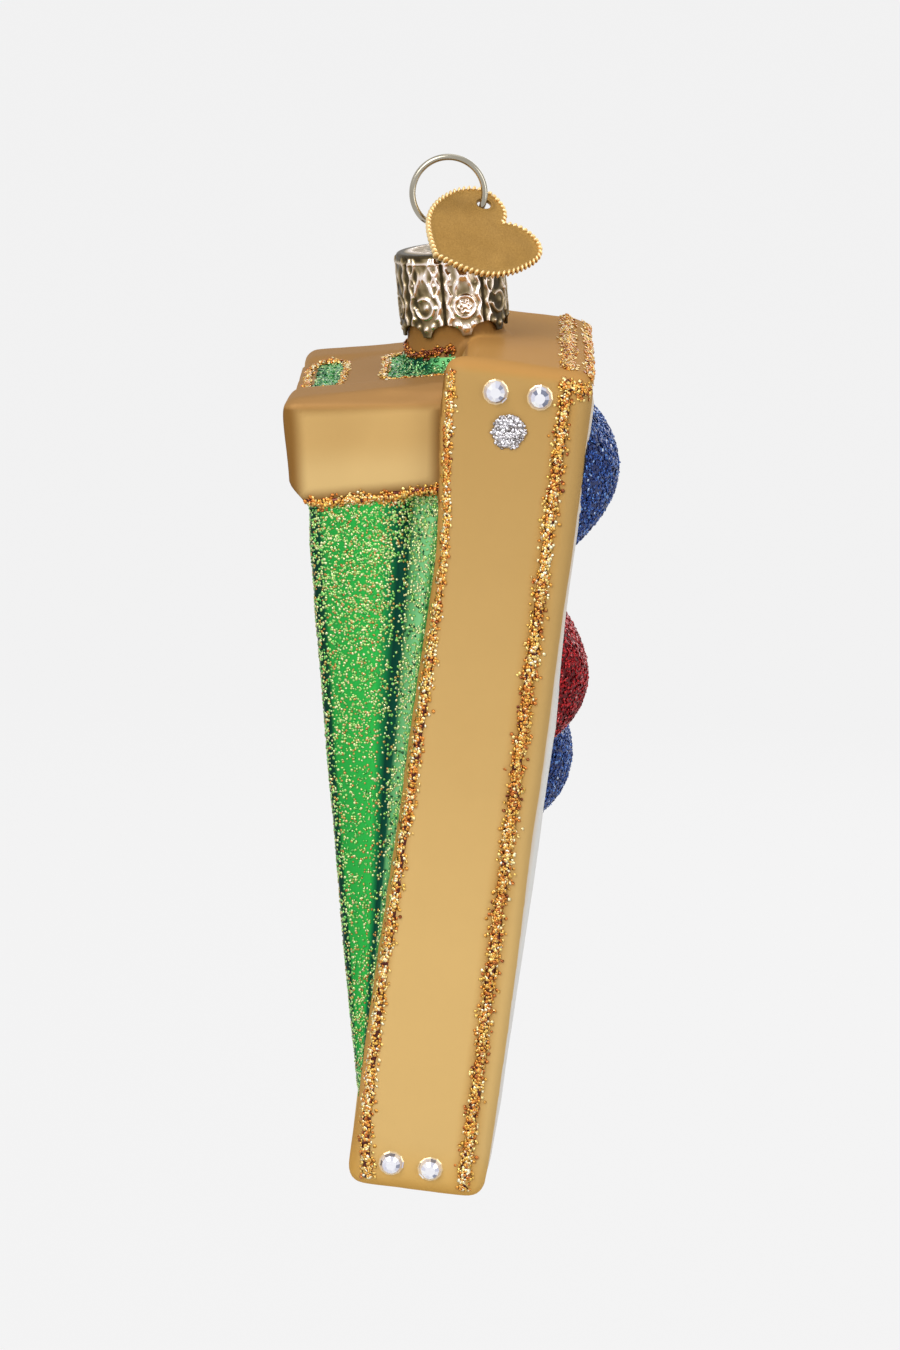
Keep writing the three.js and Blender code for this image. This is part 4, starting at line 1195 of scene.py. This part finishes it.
# Painted reflection round the cap: bright towards -85° and 95°, darker about -36°. Raised parts get painted
# highlights, strongest where the reflection is; flutes and hollows stay dark with patina.
painted_reflection = 0.1 + 0.9 * ridge((spin + 265) % 360 - 180, 46) + 0.8 * ridge((spin + 85) % 360 - 180, 50)
painted_reflection -= 0.25 * ridge((spin + 36) % 360, 14) + 0.25 * ridge((spin + 36) % 360 - 360, 14)
patina_and_reflection = outside * (relief * (0.45 + 0.5 * painted_reflection) - 0.7 * flute + 0.48 * painted_reflection - 0.12 + 0.3 * rub)
store(cap, "relief", np.clip(patina_and_reflection + on_top * (0.25 + 0.5 * rose), 0, 1))
only(cap)
bpy.ops.object.shade_smooth()
cap_metal, tree, shader = paint("champagne_cap_metal")
relief_here = calc(tree, "ADD", attribute(tree, "relief"), sway(tree, grain(tree, 700, 3.0), 0.35))
# Dark patina in the lows; the near-white top of the ramp is painted highlight.
color = ramp(tree, relief_here, (
    (0.0, tone(64, 54, 34)), (0.16, tone(106, 92, 62)), (0.34, tone(156, 138, 106)),
    (0.56, tone(214, 196, 176)), (0.8, tone(246, 230, 220)), (1.0, tone(255, 244, 238)),
))
join(tree, color, shader.inputs["Base Color"])
join(tree, spread(tree, relief_here, 0.1, 0.6, 0.5, 1.0), shader.inputs["Metallic"])
fixed(shader, {"Specular IOR Level": 0.15})
join(tree, spread(tree, relief_here, 0.0, 0.8, 0.42, 0.2), shader.inputs["Roughness"])
bump(tree, shader, grain(tree, 1600, 3.0), 0.00003, 0.5)
clad(cap, cap_metal)
settle(cap, MILLIMETRES @ NECK_PLACE)
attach(cap, "cap")
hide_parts("crown_cap")


# Hanger wire
# One piece of bright spring wire: a ring, and two legs that go down through the cap and press
# against the bore of the neck.

RING_RADIUS = 4.2
WIRE_RADIUS = 0.38
leg_points = ((3.05, -20), (3.05, -15), (3.15, -10), (3.45, -5.4), (1.8, -1.8), (1.3, 0))
right = [NECK_PLACE @ Vector((x, 0, z)) for x, z in leg_points]
left = [NECK_PLACE @ Vector((-x, 0, z)) for x, z in leg_points]
ring = [
    Vector((RING_RADIUS * math.cos(math.radians(a)), 0, -3.8 + RING_RADIUS * math.sin(math.radians(a))))
    for a in range(-62, 91, 19)
]
ring_left = [Vector((-spot.x, 0, spot.z)) for spot in ring[:-1]]
wire_points = right + ring + list(reversed(left + ring_left))
wire = tube("hanger", smooth_trail(wire_points, 12), WIRE_RADIUS, 8)
only(wire)
bpy.ops.object.shade_smooth_by_angle(angle=math.radians(40))
bright_wire, tree, shader = paint("bright_spring_wire")
drawn = grain(tree, 260, 1.0)
join(tree, blend(tree, drawn, tone(150, 144, 128), tone(184, 178, 164)), shader.inputs["Base Color"])
fixed(shader, {"Metallic": 1.0})
join(tree, spread(tree, drawn, 0.3, 0.7, 0.14, 0.2), shader.inputs["Roughness"])
clad(wire, bright_wire)
settle(wire, MILLIMETRES)
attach(wire, "hanger")
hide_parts("hanger_wire")


# Heart tag
# Stamped brass sheet with a beaded rim on both sides and a dished, sandy face. It hangs loose
# on the ring by one hole beside its notch.

TAG_HALF = 7.2
TIP = -11.25
LOBE = 2.0
TAG_HOLE = (-0.28, 3.5)
TAG_SHEET = 0.4


def heart_outline(inset, count):
    """Points evenly round the heart, drawn in by the inset."""
    half = TAG_HALF - inset
    tip = TIP + 1.4 * inset
    lobe = LOBE - inset
    notch = lobe - 2.08 + 0.1 * inset
    curves = (
        ((tip, 0), (tip + 1.5, 0.5 * half), (tip + 3.0, half), (tip + 0.66 * (lobe - tip), half)),
        ((tip + 0.66 * (lobe - tip), half), (lobe - 0.6, half), (lobe, 0.72 * half), (lobe, 0.52 * half)),
        ((lobe, 0.52 * half), (lobe, 0.25 * half), (notch + 1.2, 0.08 * half), (notch, 0)),
    )
    upper = []
    for a, b, c, d in curves:
        for k in range(40):
            t = k / 40
            rest = 1 - t
            upper.append(tuple(
                a[i] * rest ** 3 + 3 * b[i] * t * rest ** 2 + 3 * c[i] * t * t * rest + d[i] * t ** 3
                for i in (0, 1)
            ))
    outline = np.array(upper + [(notch, 0)] + [(x, -y) for x, y in reversed(upper[1:])])
    outline[:, 1] -= 0.7 * np.clip((-2.0 - outline[:, 0]) / 9, 0, 1)
    closed = np.vstack((outline, outline[:1]))
    lengths = np.concatenate(([0], np.cumsum(np.linalg.norm(np.diff(closed, axis=0), axis=1))))
    steps = np.arange(count) * lengths[-1] / count
    return np.stack([np.interp(steps, lengths, closed[:, i]) for i in (0, 1)], 1)


bpy.ops.object.select_all(action="DESELECT")
bpy.ops.mesh.primitive_circle_add(vertices=220, radius=1, fill_type="NGON")
tag = bpy.context.object
tag.name = "heart"
outline = heart_outline(0.32, 220)
for vertex, (x, y) in zip(tag.data.vertices, outline):
    vertex.co = (x, y, -TAG_SHEET / 2)
bpy.ops.object.mode_set(mode="EDIT")
bpy.ops.mesh.select_all(action="SELECT")
bpy.ops.mesh.extrude_region_move(TRANSFORM_OT_translate={"value": (0, 0, TAG_SHEET)})
end_outward()
cut(tag, turned("tag_hole", ((0.82, -2), (0.82, 2)), Matrix.Translation((*TAG_HOLE, 0)), 40))
sheet = tag.modifiers.new("sheet", "REMESH")
sheet.mode = "VOXEL"
sheet.voxel_size = 0.09
ease = tag.modifiers.new("ease", "SMOOTH")
ease.iterations = 3
apply_all(tag)
tag_points = vertex_rows(tag)
rim = heart_outline(0.55, 400)
step = np.linalg.norm(tag_points[:, None, :2] - rim[None, ::2], axis=2).min(1)
dish = ridge(step, 0.35) * 0.05
from_hole = np.hypot(tag_points[:, 0] - TAG_HOLE[0], tag_points[:, 1] - TAG_HOLE[1])
hole_lip = ridge(from_hole - 1.0, 0.2) * 0.06
thick_side = np.sign(tag_points[:, 2])
belly = 0.22 * np.clip(1 - np.hypot((tag_points[:, 0] + 3.2) / 7, tag_points[:, 1] / 7.5) ** 2, 0, 1)
ripple = np.array([0.05 * noise.noise(Vector((p[0] * 0.5, p[1] * 0.5, 0))) for p in tag_points])
tag_points[:, 2] += thick_side * (dish + hole_lip) + belly - 0.1 + ripple
tag.data.vertices.foreach_set("co", tag_points.ravel())
tag.data.update()
only(tag)
bpy.ops.object.shade_smooth()
store(tag, "bead", np.zeros(len(tag.data.vertices)))
bead_line = heart_outline(0.36, 68)
bead_ahead = np.roll(bead_line, -1, 0) - np.roll(bead_line, 1, 0)
beads = []
for (x, y), (dx, dy) in zip(bead_line, bead_ahead):
    bpy.ops.object.select_all(action="DESELECT")
    bpy.ops.mesh.primitive_uv_sphere_add(
        segments=10, ring_count=6, radius=1, location=(x, y, 0.02), scale=(0.4, 0.2, 0.5),
        rotation=(0, 0, math.atan2(dy, dx) + math.radians(52)),
    )
    bead = bpy.context.object
    bpy.ops.object.shade_smooth()
    store(bead, "bead", np.ones(len(bead.data.vertices)))
    beads.append(bead)
tag = joined(tag, beads)
satin_brass, tree, shader = paint("satin_brass")
sand = grain(tree, 5200, 2.0)
cloudy = grain(tree, 260, 2.0)
face_brass = blend(tree, cloudy, tone(150, 114, 58), tone(172, 134, 74))
join(tree, blend(tree, attribute(tree, "bead"), face_brass, tone(246, 216, 158)), shader.inputs["Base Color"])
fixed(shader, {"Metallic": 1.0})
join(tree, spread(tree, sand, 0.3, 0.7, 0.32, 0.5), shader.inputs["Roughness"])
bump(tree, shader, sand, 0.00003, 0.6)
clad(tag, satin_brass)
tag_place = (
    Matrix.Translation((4.4912, 0, -5.3464)) @ Matrix.Rotation(math.radians(20.8), 4, "Z")
    @ Matrix.Rotation(math.radians(37), 4, "X") @ Matrix.Rotation(math.radians(22), 4, "Z")
    @ Matrix.Translation((0, -3.2, 0))
)
settle(tag, MILLIMETRES @ tag_place)
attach(tag, "tag")
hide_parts("heart_tag")

low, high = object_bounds()
